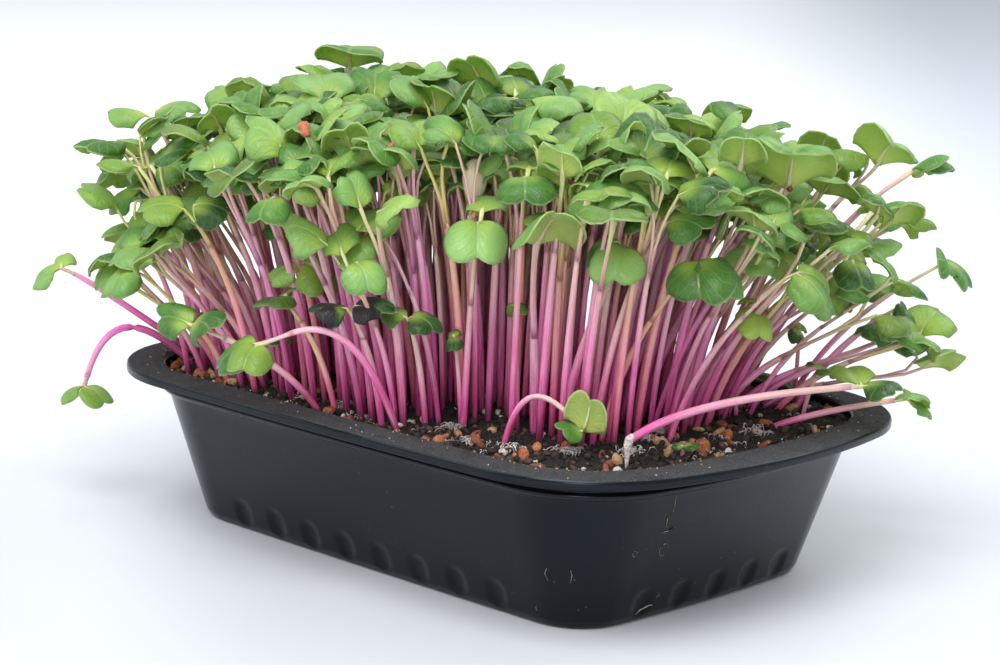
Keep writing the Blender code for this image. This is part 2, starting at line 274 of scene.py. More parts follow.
# %% Light
SURROUND = (0.94, 0.97, 1.0)
SURROUND_STRENGTH = 0.69
LAMPS = (
    # name, place, where it points, size and power
    ("key_lamp", Vector((0.36, -0.70, 1.30)), rim_middle, 1.0, 20.0),
    ("left_lamp", Vector((-0.85, -0.85, 0.90)), rim_middle, 0.9, 4.0),
    ("front_lamp", Vector((0.72, -0.84, 0.36)), rim_middle, 0.35, 2.5),
    ("back_lamp", Vector((0.20, 1.05, 1.10)), rim_middle, 1.0, 9.0),
    ("far_lamp", Vector((-1.10, 1.20, 1.50)), Vector((-1.10, 1.20, 0)), 1.6, 6.0),
)

world = bpy.data.worlds.new("studio")
bpy.context.scene.world = world
world.use_nodes = True
background = world.node_tree.nodes["Background"]
background.inputs["Color"].default_value = (*SURROUND, 1.0)
background.inputs["Strength"].default_value = SURROUND_STRENGTH
for name, place, aim, size, power in LAMPS:
    lamp = bpy.data.lights.new(name, "AREA")
    lamp.size = size
    lamp.energy = power
    holder = bpy.data.objects.new(name, lamp)
    bpy.context.collection.objects.link(holder)
    holder.location = place
    holder.rotation_mode = "QUATERNION"
    holder.rotation_quaternion = (place - aim).to_track_quat("Z", "Y")
bpy.context.scene.view_settings.view_transform = "Standard"
print("lamps:", [name for name, *rest in LAMPS])

# %% [markdown]
# ## One tube for many shapes
#
# The tray, the soil, the stems and the stalks are all made from the same start: a plain
# cylinder whose side is cut into rings. Each ring is then put in its place, as a
# basket maker works up from hoop to hoop. It keeps every shape one closed skin.
#
# Each vertex also carries two small vectors for the finishes: `place` says where it is
# on its own leaf or stem, and `tone` says how that one plant differs from the next.

# %% Tubes and pieces
def start_mesh():
    """An empty mesh whose vertices carry a place and a tone."""
    bm = bmesh.new()
    bm.verts.layers.float_vector.new("place")
    bm.verts.layers.float_vector.new("tone")
    return bm


def cut_tube(bm, sides, rings):
    """A unit cylinder cut into rings; returns each ring's vertices in order round it."""
    ends = bmesh.ops.create_cone(bm, cap_ends=True, segments=sides, radius1=1, radius2=1, depth=1)["verts"]
    uprights = {edge for vert in ends for edge in vert.link_edges
                if edge.verts[0].co.z * edge.verts[1].co.z < 0}
    cut = bmesh.ops.subdivide_edges(bm, edges=list(uprights), cuts=rings - 2, use_grid_fill=True)
    pieces = [part for part in cut["geom_split"] if isinstance(part, bmesh.types.BMEdge)]
    levels = [[] for level in range(rings)]
    for vert in {vert for edge in pieces for vert in edge.verts}:
        levels[round((vert.co.z + 0.5) * (rings - 1))].append(vert)
    for level in levels:
        level.sort(key=lambda vert: (math.atan2(vert.co.y, vert.co.x) + 0.01) % math.tau)
    return levels


def pour(bm, into):
    """Move a small mesh into a big one: operators run much faster on small meshes."""
    carried = bpy.data.meshes.new("carried")
    bm.to_mesh(carried)
    bm.free()
    into.from_mesh(carried)
    bpy.data.meshes.remove(carried)


def add_piece(name, bm, finishes, replaced=()):
    """Close a mesh into a named piece that rides on the tray's body."""
    bmesh.ops.recalc_face_normals(bm, faces=bm.faces)
    mesh = bpy.data.meshes.new(name)
    bm.to_mesh(mesh)
    bm.free()
    mesh.shade_smooth()
    for finish in finishes:
        mesh.materials.append(finish)
    piece = bpy.data.objects.new(name, mesh)
    bpy.context.collection.objects.link(piece)
    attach(piece, "root")
    for node_name in replaced:
        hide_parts(node_name)
    return piece


print("tube and piece helpers ready")

# %% [markdown]
# ## The plan of the tray
#
# Seen from above, the rim is a rounded rectangle whose sides bow out a little. The same
# rule drew the fixed frame, so the fine skin drawn here lies exactly on it; only the
# steps along each side are finer, so that highlights run smoothly round the corners.

# %% Plan outline
RIM_LENGTH = tray_high.x - tray_low.x
RIM_WIDTH = tray_high.y - tray_low.y
END_BOW = 3.8 * MM
SIDE_BOW = 1.2 * MM
RIM_CORNER = 39 * MM
BOW_LOSS = 0.6
BASE_INSET = 23.4 * MM
STRAIGHT_LENGTH = RIM_LENGTH - 2 * END_BOW
STRAIGHT_WIDTH = RIM_WIDTH - 2 * SIDE_BOW


def arc(centre, radius, first, last, steps):
    """Points along an arc, without its last one."""
    points = []
    for count in range(steps):
        angle = first + (last - first) * count / steps
        points.append((centre[0] + radius * math.cos(angle), centre[1] + radius * math.sin(angle)))
    return points


def outline(inset, end_steps, side_steps, corner_steps):
    """The tray's plan at an inset from the rim: four bowed sides and round corners."""
    corner = RIM_CORNER - inset
    centre_x = STRAIGHT_LENGTH / 2 - inset - corner
    centre_y = STRAIGHT_WIDTH / 2 - inset - corner
    bow_share = 1 - BOW_LOSS * inset / BASE_INSET
    end_reach = centre_y ** 2 / (2 * END_BOW * bow_share)
    side_reach = centre_x ** 2 / (2 * SIDE_BOW * bow_share)
    end_angle = math.atan2(centre_y, end_reach)
    side_angle = math.atan2(centre_x, side_reach)
    end_radius = math.hypot(end_reach, centre_y) + corner
    side_radius = math.hypot(side_reach, centre_x) + corner
    square = math.pi / 2
    half = arc((centre_x - end_reach, 0), end_radius, -end_angle, end_angle, end_steps)
    half += arc((centre_x, centre_y), corner, end_angle, square - side_angle, corner_steps)
    half += arc((0, centre_y - side_reach), side_radius, square - side_angle,
                square + side_angle, side_steps)
    half += arc((-centre_x, centre_y), corner, square + side_angle,
                2 * square - end_angle, corner_steps)
    return half + [(-x, -y) for x, y in half]


def inside_tray(x, y, inset):
    """True where a point lies inside the plan outline at an inset."""
    corner = RIM_CORNER - inset
    over_x = abs(x) - (STRAIGHT_LENGTH / 2 - inset - corner)
    over_y = abs(y) - (STRAIGHT_WIDTH / 2 - inset - corner)
    return math.hypot(max(over_x, 0), max(over_y, 0)) < corner


print("rim", round(STRAIGHT_LENGTH / MM, 1), "x", round(STRAIGHT_WIDTH / MM, 1), "mm before the bow")

# %% [markdown]
# ## The tray's wall in section
#
# The tray is one sheet of plastic, drawn down over a mould. Its section goes up the
# outside, over the flange with its turned-down lip, and down the inside. Only the
# corners of the section are listed; each is rounded by a short curve, since a sheet
# that was drawn hot has no sharp edge anywhere. A small bead runs round the shoulder
# under the flange, to keep stacked trays from jamming.

# %% Section of the tray
OUTER_PROFILE = (
    (28.0, 0.0), (25.6, 0.0), (24.3, 0.6), (23.2, 2.2), (22.2, 5.2), (20.33, 11.0), (17.1, 21.0),
    (12.1, 36.6), (10.5, 37.2), (9.8, 38.0), (9.8, 38.5), (10.4, 39.3), (10.3, 43.1), (9.3, 43.9),
    (1.1, 43.9), (0.9, 42.4), (0.1, 42.3), (0.0, 43.9), (0.15, 44.45), (0.55, 44.85),
)
INNER_PROFILE = (
    (1.1, 45.0), (10.0, 45.0), (11.0, 44.3), (11.6, 38.0), (13.1, 37.0), (18.1, 21.4),
    (21.41, 11.0), (23.2, 5.4), (24.4, 2.7), (25.6, 1.4), (28.0, 1.0),
)
ROUNDING = 0.35
LONGEST_ARM = 0.45
ROUNDING_STEPS = 3
FOOT_STEP = 0.9
WALL_STEP = 3.4
FOOT_TOP = 11.0


def rounded(profile):
    """The section's corners as short curves, and its long runs cut into steps."""
    points = [Vector(point) for point in profile]
    drawn = [points[0]]
    for before, corner, after in zip(points, points[1:], points[2:]):
        arms = [other - corner for other in (before, after)]
        start, end = (corner + arm * min(ROUNDING / arm.length, LONGEST_ARM) for arm in arms)
        for count in range(ROUNDING_STEPS + 1):
            share = count / ROUNDING_STEPS
            drawn.append(start.lerp(corner, share).lerp(corner.lerp(end, share), share))
    drawn.append(points[-1])
    stepped = [drawn[0]]
    for point in drawn[1:]:
        last = stepped[-1]
        run = point - last
        longest = FOOT_STEP if max(point.y, last.y) < FOOT_TOP else WALL_STEP
        steps = max(1, math.ceil(run.length / longest))
        stepped += [last + run * (count + 1) / steps for count in range(steps)]
    return stepped


section = rounded(OUTER_PROFILE + INNER_PROFILE)
print("section of", len(section), "points")

# %% [markdown]
# ## The tray
#
# Long dimples are pressed into the foot of the wall, eight along each side and five
# along each end. They could be cut with Booleans, but a press moves the whole sheet
# inwards, inside face and outside face alike. So each vertex near a dimple is simply
# pushed in, most in the dimple's middle and not at all at its edge.

# %% Dimples
FLUTE_WIDTH = 7.4 * MM
FLUTE_HEIGHT = 9.0 * MM
FLUTE_DEPTH = 0.75 * MM
FLUTE_PITCH = 14.0 * MM
FLUTES_ALONG_SIDE = 8
FLUTES_ALONG_END = 5
FLUTE_LEVEL = 5.6 * MM
FLUTE_BOTTOM = 0.3 * MM
FLUTE_TOP = 12 * MM
FLUTE_INSET = 22.6 * MM
FLUTE_REACH = 6 * MM
WALL_STEPS = (72, 124, 20)


def flute_places():
    """Where the dimples sit round the foot of the wall, and the way each faces."""
    edge = outline(FLUTE_INSET, *WALL_STEPS)
    reach_x = max(x for x, y in edge)
    reach_y = max(y for x, y in edge)
    places = []
    for turn in (0, math.pi):
        way = math.cos(turn)
        for count in range(FLUTES_ALONG_SIDE):
            x = (count - (FLUTES_ALONG_SIDE - 1) / 2) * FLUTE_PITCH
            places.append((Vector((x * way, -reach_y * way)), turn - math.pi / 2))
        for count in range(FLUTES_ALONG_END):
            y = (count - (FLUTES_ALONG_END - 1) / 2) * FLUTE_PITCH
            places.append((Vector((reach_x * way, y * way)), turn))
    return places


def press_flutes(bm):
    """Push the foot of the wall in at each dimple: deep and even inside a round edge."""
    low = [vert for vert in bm.verts if FLUTE_BOTTOM < vert.co.z < FLUTE_TOP]
    for place, facing in flute_places():
        outwards = Vector((math.cos(facing), math.sin(facing)))
        along = Vector((-outwards.y, outwards.x))
        for vert in low:
            offset = vert.co.xy - place
            across = offset.dot(along) / (FLUTE_WIDTH / 2)
            if abs(across) < 1 and abs(offset.dot(outwards)) < FLUTE_REACH:
                height = (vert.co.z - FLUTE_LEVEL) / (FLUTE_HEIGHT / 2)
                inside = max(0, 1 - across ** 2 - abs(height) ** 3)
                vert.co.xy -= outwards * FLUTE_DEPTH * inside * inside * (3 - 2 * inside)


print("dimples planned:", len(flute_places()))

# %% [markdown]
# ## The plastic
#
# The plastic is black and smooth, with faint smears and scratches. On the flange lies
# dust and fine grit from watering. Between the bead and the flange hardly any light gets
# in, so that band is painted near black as shade, and made dull. The faint blue of the
# wall's reflections is painted too, by a blue specular tint.

# %% Plastic finish
FLANGE_TOP = (44.6 * MM, 44.95 * MM)
# heights of the band under the flange that is painted near black as shade
SHADE_BAND_BOTTOM = (39.2 * MM, 39.8 * MM)
SHADE_BAND_TOP = (42.6 * MM, 42.2 * MM)
BARE_ROUGHNESS = 0.22


def plastic_finish():
    """Black plastic: smooth on the wall, with a painted blue tint to its reflections, dusty and dull on the
    flange, and painted near black as shade under it.
    """
    finish, tree, shader = new_finish("tray_plastic")
    place = object_place(tree)
    x, y, z = split_up(tree, place)
    flange = step(tree, z, *FLANGE_TOP)
    cloud = mottle(tree, place, 160, 4.0, 0.6)
    grit = cells(tree, place, 1500)
    dust = times(tree, flange, step(tree, cloud, 0.05, 0.55))
    speck = times(tree, flange, step(tree, grit, 0.32, 0.12))
    fleck = times(tree, step(tree, cells(tree, place, 330), 0.10, 0.05),
                 step(tree, mottle(tree, place, 40, 2.0), 0.5, 0.62))
    smear = step(tree, mottle(tree, place, 55, 5.0, 0.65), 0.50, 0.8)
    # the bluish black body, with the blue specular tint below, is a painted reflection of the pale blue
    # table
    body = blend(tree, smear, (0.0022, 0.0030, 0.0044), (0.0052, 0.0062, 0.0080))
    # painted shade: the band under the flange is made near black where little light gets in
    painted_shade_band = times(tree, step(tree, z, *SHADE_BAND_BOTTOM), step(tree, z, *SHADE_BAND_TOP))
    body = blend(tree, painted_shade_band, body, (0.001, 0.001, 0.001))
    dusty = blend(tree, dust, body, (0.042, 0.044, 0.048))
    dusty = blend(tree, fleck, dusty, (0.06, 0.058, 0.055))
    streaks = mottle(tree, join_up(tree, x, y, times(tree, z, 9.0)), 260, 3.0)
    scratch = step(tree, streaks, 0.66, 0.8)
    rough = plus(tree, times(tree, flange, 0.56), times(tree, smear, 0.10))
    rough = plus(tree, rough, times(tree, painted_shade_band, 0.65))
    relief = plus(tree, times(tree, flange, mottle(tree, place, 1100, 3.0)),
                  times(tree, cloud, 0.3))
    fill(tree, shader, {
        "Base Color": blend(tree, speck, dusty, (0.17, 0.15, 0.13)),
        "Roughness": plus(tree, plus(tree, BARE_ROUGHNESS, rough), times(tree, scratch, 0.14)),
        "IOR": 1.35,
        # painted reflection: a blue tint on the plastic's reflections
        "Specular Tint": (0.78, 0.89, 1.0, 1.0),
        "Normal": bump(tree, relief, 0.25 * MM, 0.6),
    })
    return finish


plastic = plastic_finish()
print("finish:", plastic.name)

# %% Tray body
bm = start_mesh()
rings = cut_tube(bm, len(outline(0, *WALL_STEPS)), len(section))
for ring, (inset, height) in zip(rings, section):
    for vert, (x, y) in zip(ring, outline(inset * MM, *WALL_STEPS)):
        vert.co = (x, y, height * MM)
press_flutes(bm)
tray = add_piece("tray_shell", bm, [plastic], ["tray"])
print("tray:", len(tray.data.polygons), "faces")

# %% [markdown]
# ## A finish for small loose things
#
# Crumbs, husks, root hairs and the dried scraps on the wall differ mostly in colour. So
# each has its colour written on its vertices, and one finish serves them all.

# %% Loose finish
def bits_finish():
    """Any loose bit: its own colour, mottled, with a grainy skin."""
    finish, tree, shader = new_finish("loose_bits")
    tone = node(tree, "Attribute", attribute_name="tone").outputs["Vector"]
    place = object_place(tree)
    cloud = step(tree, mottle(tree, place, 1300, 3.0, 0.6), 0.3, 0.7)
    fill(tree, shader, {
        "Base Color": blend(tree, cloud, tone, (0.45, 0.42, 0.40), "MULTIPLY"),
        "Roughness": 0.75,
        "Normal": bump(tree, mottle(tree, place, 2600, 4.0, 0.7), 0.25 * MM, 0.8),
    })
    return finish


bits = bits_finish()
print("loose finish ready")

# %% [markdown]
# ## The soil
#
# The soil is a block that fills the tray to just under the flange. Its top is crumbly:
# lumps a few millimetres wide are raised by a fractal noise, and the smaller grains are
# left to loose crumbs, which are real shapes and catch the light as real crumbs do.

# %% Soil heights
SOIL_LEVEL = 42.8 * MM
SOIL_CROWN = 0.6 * MM
SOIL_WAVE = 0.25 * MM
SOIL_WAVE_LENGTH = 15 * MM
LUMP_SIZE = 3.0 * MM
LUMP_HEIGHT = 1.3 * MM
LUMP_SINK = 0.4 * MM


def soil_height(x, y):
    """The soil is crowned a little in the middle and gently uneven."""
    wave = SOIL_WAVE * math.sin(x / SOIL_WAVE_LENGTH) * math.cos(y / SOIL_WAVE_LENGTH)
    crown = SOIL_CROWN * math.cos(x * math.pi / STRAIGHT_LENGTH) * math.cos(y * math.pi / STRAIGHT_WIDTH)
    return SOIL_LEVEL + crown + wave


def lumpy_height(x, y):
    """The same, with lumps and hollows."""
    lumps = noise.fractal(Vector((x, y, 0)) / LUMP_SIZE, 0.7, 2.1, 3)
    return soil_height(x, y) - LUMP_SINK + LUMP_HEIGHT * lumps


print("soil stands", round(soil_height(0, 0) / MM, 1), "mm high in the middle")

# %% Soil finish
def soil_finish():
    """Dark damp soil, mottled at random from nearly black to brown, with lighter brown grains."""
    finish, tree, shader = new_finish("growing_soil")
    place = object_place(tree)
    fine = mottle(tree, place, 900, 5.0, 0.7)
    coarse = mottle(tree, place, 220, 3.0, 0.6)
    grain = cells(tree, place, 1100)
    brown = ramp(tree, coarse, (
        (0.3, (0.004, 0.003, 0.002)), (0.55, (0.012, 0.008, 0.006)), (0.75, (0.030, 0.018, 0.014))))
    relief = plus(tree, fine, times(tree, grain, 0.8))
    fill(tree, shader, {
        "Base Color": blend(tree, step(tree, fine, 0.62, 0.75), brown, (0.06, 0.040, 0.032)),
        "Roughness": 0.85,
        "Normal": bump(tree, relief, 0.8 * MM, 1.0),
    })
    return finish


damp_soil = soil_finish()
print("finish:", damp_soil.name)

# %% Soil block
SOIL_EDGE = 11.9
# side of the block from the floor upwards: inset from the rim, height
SOIL_SIDE = (
    (28.0, 1.4), (26.0, 1.9), (25.0, 3.1), (18.7, 21.4), (13.7, 37.2), (12.2, 38.4), (11.9, 41.0),
)
SOIL_RINGS = 62
RING_CROWDING = 1.15
SOIL_STEPS = (44, 70, 18)

bm = start_mesh()
edge = outline(SOIL_EDGE * MM, *SOIL_STEPS)
rings = cut_tube(bm, len(edge), len(SOIL_SIDE) + SOIL_RINGS)
for ring, (inset, height) in zip(rings, SOIL_SIDE):
    for vert, (x, y) in zip(ring, outline(inset * MM, *SOIL_STEPS)):
        vert.co = (x, y, height * MM)
for count, ring in enumerate(rings[len(SOIL_SIDE):]):
    share = 1 - (count / (SOIL_RINGS - 0.5)) ** RING_CROWDING
    for vert, (x, y) in zip(ring, edge):
        vert.co = (x * share, y * share, lumpy_height(x * share, y * share))
soil = add_piece("soil_block", bm, [damp_soil], ["soil"])
print("soil:", len(soil.data.polygons), "faces")

# %% [markdown]
# ## Loose bits
#
# The soil is strewn with loose things: dark crumbs, white perlite and lumps of orange
# clay, and finer specks lie on the flange. A bump in the soil's finish would stay flat
# seen from the side, so these are real small stones. Each one is an icosphere, stretched,
# turned at random and dented by noise. Small ones have twenty faces each, because there
# are thousands of them.

# %% Loose bits
CRUMB_TONES = ((0.006, 0.004, 0.003), (0.014, 0.008, 0.006), (0.032, 0.018, 0.013), (0.085, 0.050, 0.036))
CLAY_TONES = ((0.42, 0.13, 0.045), (0.52, 0.20, 0.08), (0.30, 0.085, 0.035), (0.55, 0.33, 0.16))
PERLITE_TONES = ((0.80, 0.78, 0.74), (0.66, 0.62, 0.56), (0.72, 0.64, 0.62))
BITS = (
    # name, how many, radius from and to, faces, stretch, dents, tones, band of inset from and to
    ("crumb", 2300, (0.3, 0.95), 1, 0.4, 0.4, CRUMB_TONES, (12.0, 40.0)),
    ("crumb", 600, (0.5, 1.5), 1, 0.35, 0.35, CRUMB_TONES, (12.0, 90.0)),
    ("perlite", 170, (0.4, 1.3), 2, 0.25, 0.45, PERLITE_TONES, (12.5, 40.0)),
    ("clay", 130, (0.9, 2.2), 2, 0.5, 0.4, CLAY_TONES, (13.0, 36.0)),
)
FLANGE_SPECKS = 520
SPECK_RADII = (0.10, 0.30)
SPECK_INSETS = (0.8, 6.5, 8.5)
FLANGE_INSIDE = 10.6
DENTS_ACROSS = 1.7
STANDS_PROUD = 0.35
BITS_SEED = 5
BATCH = 60


def add_bit(bm, place, radius, fineness, stretch, dents, tone, rng):
    """One small irregular stone or husk."""
    tone_layer = bm.verts.layers.float_vector["tone"]
    angle = rng.uniform(0, math.tau)
    axis = Vector((rng.gauss(0, 1), rng.gauss(0, 1), rng.gauss(0, 1)))
    turn = Matrix.Rotation(angle, 3, axis)
    scale = Vector((1 + rng.uniform(0, stretch), 1 - rng.uniform(0, stretch), 1 - rng.uniform(0, stretch)))
    shift = Vector((rng.uniform(0, 50), 0, 0))
    for vert in bmesh.ops.create_icosphere(bm, subdivisions=fineness, radius=1.0)["verts"]:
        vert[tone_layer] = tone
        out = vert.co * (1 + dents * noise.noise(vert.co * DENTS_ACROSS + shift))
        vert.co = place + turn @ Vector(a * b for a, b in zip(out, scale)) * radius


def soil_spot(rng, near, far):
    """A random place on the soil, at an inset between near and far."""
    while True:
        x = rng.uniform(-0.5, 0.5) * STRAIGHT_LENGTH
        y = rng.uniform(-0.5, 0.5) * STRAIGHT_WIDTH
        if inside_tray(x, y, near * MM) and not inside_tray(x, y, far * MM):
            return x, y


rng = random.Random(BITS_SEED)
bm = start_mesh()
for name, count, (least, most), fineness, stretch, dents, tones, (near, far) in BITS:
    for start in range(0, count, BATCH):
        batch = start_mesh()
        for number in range(start, min(count, start + BATCH)):
            x, y = soil_spot(rng, near, far)
            radius = rng.uniform(least, most) * MM
            place = Vector((x, y, lumpy_height(x, y) + radius * STANDS_PROUD))
            add_bit(batch, place, radius, fineness, stretch, dents, rng.choice(tones), rng)
        pour(batch, bm)
crumbs = add_piece("soil_crumbs", bm, [bits])

bm = start_mesh()
for number in range(FLANGE_SPECKS):
    x, y = soil_spot(rng, rng.choice(SPECK_INSETS), FLANGE_INSIDE)
    radius = rng.uniform(*SPECK_RADII) * MM
    tone = rng.choice(CRUMB_TONES[2:] + CLAY_TONES[3:] + PERLITE_TONES[1:2])
    add_bit(bm, Vector((x, y, tray_high.z + radius * 0.5)), radius, 1, 0.4, 0.3, tone, rng)
specks = add_piece("flange_specks", bm, [bits])
print("loose bits:", len(crumbs.data.polygons) + len(specks.data.polygons), "faces")

# %% [markdown]
# ## Curves for stems and stalks
#
# A stem is a smooth bend from the soil to the fork. A Bezier curve gives its points, and
# the curve's direction turns the rings of the tube square to it.

# %% Curves
UP = Vector((0, 0, 1))


def heading(degrees):
    """A level direction, by its angle from +X."""
    return Vector((math.cos(math.radians(degrees)), math.sin(math.radians(degrees)), 0))


def bend(points, share):
    """A point on the Bezier curve with the given control points."""
    layer = list(points)
    while len(layer) > 1:
        layer = [a.lerp(b, share) for a, b in zip(layer, layer[1:])]
    return layer[0]


def course(points, share):
    """The direction of that curve."""
    ahead = bend(points, min(share + 0.01, 1.0))
    return (ahead - bend(points, max(share - 0.01, 0.0))).normalized()


def square_to(vector, axis):
    """The part of a vector that is square to an axis, at unit length."""
    return (vector - axis * vector.dot(axis)).normalized()


def add_rod(bm, stations, sides, tone):
    """A tube through stations of centre, direction, sideways, half width, half height, age."""
    place_layer = bm.verts.layers.float_vector["place"]
    tone_layer = bm.verts.layers.float_vector["tone"]
    for ring, (centre, forward, sideways, half_width, half_height, age) in zip(
            cut_tube(bm, sides, len(stations)), stations):
        upright = sideways.cross(forward)
        for vert in ring:
            x, y = vert.co.xy
            vert[place_layer] = (x, y, age)
            vert[tone_layer] = tone
            vert.co = centre + sideways * x * half_width + upright * y * half_height


print("curves ready")

# %% [markdown]
# ## Root hairs and scraps on the wall
#
# Young roots that run over the soil carry a white fuzz of fine hairs, and a few dried
# rootlets have stuck to the wet wall. All are threads, so each is a very thin rod with a
# triangular section. A thread on the wall is laid by casting a ray at the tray from
# outside, which finds the wall however it bows.

# %% Root hairs and wall scraps
HAIR_TONES = ((0.80, 0.77, 0.72), (0.66, 0.60, 0.56), (0.74, 0.66, 0.68))
HAIR_PLACES = (
    (24, -43), (62, -39), (64, -12), (61, -3), (71, -27),
    (-10, -50), (-56, -50), (38, -51), (76, 18), (49, -49),
)
HAIRS_PER_PLACE = 44
STRAY_PLACES = 70
HAIRS_PER_STRAY = 5
STRAY_BAND = (14.5, 33)
HAIR_SCATTER = 1.3
HAIR_LENGTHS = (1.0, 3.6)
HAIR_LIFTS = (0.2, 1.6)
HAIR_HALVES = (0.08, 0.19)
HAIR_BOW = 0.3
SCRAP_TONE = (0.42, 0.39, 0.24)
PALE_SCRAP_TONE = (0.62, 0.60, 0.54)
WALL_THREADS = (
    # tone, half width, points near the wall
    (SCRAP_TONE, 0.10, ((88.5, -29.0, 35.9), (87.8, -28.5, 33.7), (87.1, -28.2, 31.4))),
    (SCRAP_TONE, 0.16, ((86.9, -28.4, 30.9), (86.5, -29.6, 30.0), (86.2, -29.3, 29.1), (85.7, -29.0, 27.6),
                        (85.7, -26.0, 26.7), (85.4, -27.7, 26.1), (85.1, -29.9, 25.9))),
    (PALE_SCRAP_TONE, 0.20, ((76.9, -28.6, 2.4), (77.1, -27.0, 3.4), (77.5, -24.6, 4.4),
                             (77.6, -23.6, 4.3))),
    (PALE_SCRAP_TONE, 0.09, ((67.9, -52.9, 17.1), (67.5, -52.9, 15.4), (67.6, -51.8, 13.6))),
    (PALE_SCRAP_TONE, 0.09, ((73.4, -50.1, 17.2), (73.6, -49.6, 15.8), (72.9, -49.3, 13.8))),
    (PALE_SCRAP_TONE, 0.08, ((62.9, -50.4, 5.6), (62.5, -50.3, 5.0), (62.8, -50.0, 4.2))),
    (PALE_SCRAP_TONE, 0.08, ((79.6, -22.9, 7.6), (79.3, -22.2, 7.0), (79.3, -23.4, 6.3))),
)
RING_MARKS = (((83.6, -26.8, 20.6), 1.5), ((82.6, -36.8, 21.1), 0.7))


def lay_thread(bm, points, half, tone):
    """A thin thread through points, thinning at both ends."""
    stations = []
    for count, point in enumerate(points):
        ahead = points[min(count + 1, len(points) - 1)] - points[max(count - 1, 0)]
        forward = ahead.normalized()
        thin = half * (0.5 if count in (0, len(points) - 1) else 1)
        sideways = forward.orthogonal().normalized()
        stations.append((point, forward, sideways, thin, thin, 0.0))
    add_rod(bm, stations, 3, tone)


def on_wall(near, clear):
    """The point of the tray's wall that lies straight inwards from a point, held clear of it."""
    outside = Vector((near[0] * 1.4, near[1] * 1.4, near[2])) * MM
    inwards = Vector((-near[0], -near[1], 0)).normalized()
    hit, normal, *rest = wall_surface.ray_cast(outside, inwards)
    return hit + normal * clear


rng = random.Random(BITS_SEED + 1)
bm = start_mesh()
spots = [(place, HAIRS_PER_PLACE, 1.0) for place in HAIR_PLACES]
for number in range(STRAY_PLACES):
    x, y = soil_spot(rng, *STRAY_BAND)
    spots.append(((x / MM, y / MM), HAIRS_PER_STRAY, 0.7))
for (x, y), count, reach in spots:
    tuft = start_mesh()
    for number in range(count):
        angle = rng.uniform(0, math.tau)
        way = Vector((math.cos(angle), math.sin(angle), 0))
        start = Vector((x + rng.gauss(0, HAIR_SCATTER), y + rng.gauss(0, HAIR_SCATTER), 0)) * MM
        length = rng.uniform(*HAIR_LENGTHS) * reach * MM
        lift = rng.uniform(*HAIR_LIFTS) * reach * MM
        bow = UP.cross(way) * rng.uniform(-HAIR_BOW, HAIR_BOW) * length
        points = []
        for share in (0.0, 0.33, 0.66, 1.0):
            point = start + way * length * share + bow * math.sin(share * math.pi)
            point.z = soil_height(point.x, point.y) + lift * math.sin(share * math.pi) + 0.1 * MM
            points.append(point)
        lay_thread(tuft, points, rng.uniform(*HAIR_HALVES) * MM, rng.choice(HAIR_TONES))
    pour(tuft, bm)
hairs = add_piece("root_hairs", bm, [bits])

wall_surface = BVHTree.FromObject(tray, bpy.context.evaluated_depsgraph_get())
bm = start_mesh()
for tone, half, points in WALL_THREADS:
    lay_thread(bm, [on_wall(point, half * 0.6 * MM) for point in points], half * MM, tone)
for (x, y, z), radius in RING_MARKS:
    loop = []
    for count in range(11):
        turn = count * math.tau / 12
        loop.append(on_wall((x, y + radius * math.cos(turn), z + radius * 1.2 * math.sin(turn)), 0.05 * MM))
    lay_thread(bm, loop, 0.09 * MM, SCRAP_TONE)
scraps = add_piece("wall_scraps", bm, [bits])
print("threads:", len(hairs.data.polygons) + len(scraps.data.polygons), "faces")

# %% [markdown]
# ## The seed leaf
#
# A radish seed leaf is a kidney: two round lobes with a notch between them at the tip.
# One lobe is part of an ellipse, so the outline is a formula. A flat grid is laid out
# like a fan, every column running from the stalk to the edge, because the real veins run
# the same way.
#
# Then the sheet is bent twice. Along the midrib it arches from the stalk to the tip, and
# across it each half first rises from the midrib and then curls down to the margin, like
# a gull's wing. Last, the sheet gets its thickness.

# %% Seed leaf
LOBE_SIDE = 0.195
LOBE_WIDTH = 0.305
LOBE_FORWARD = 0.35
LOBE_LENGTH = 0.40
NOTCH_TURN = -math.asin(LOBE_SIDE / LOBE_WIDTH)
BASE_TURN = math.radians(122)
LEAF_REACH = LOBE_FORWARD + LOBE_LENGTH
LEAF_THICKNESS = 0.38 * MM
THICKEST = 0.55 * MM
STALK_HALF_WIDTH = 0.8 * MM
ROLL_FROM = 0.62
RIM_FROM = 0.60


def edge_point(across):
    """The leaf's edge at a share across it, from -1 to 1: how far aside and how far forward."""
    turn = NOTCH_TURN + (BASE_TURN - NOTCH_TURN) * abs(across) ** 1.05
    aside = LOBE_SIDE + LOBE_WIDTH * math.sin(turn)
    return math.copysign(max(aside, 0), across), LOBE_FORWARD + LOBE_LENGTH * math.cos(turn)


def swing(angle, loss, share):
    """Where an even bend leads: it starts at an angle and loses some of it by share 1."""
    loss = loss if abs(loss) > 1e-3 else 1e-3
    now = angle - loss * share
    return (math.sin(angle) - math.sin(now)) / loss, (math.cos(now) - math.cos(angle)) / loss


def double_swing(angle, early, late, switch, share):
    """Two even bends in a row, the second from a switch on: how far ahead and up they lead."""
    ahead, lift = swing(angle, early / switch, min(share, switch))
    if share > switch:
        more, extra = swing(angle - early, late / (1 - switch), share - switch)
        ahead, lift = ahead + more, lift + extra
    return ahead, lift


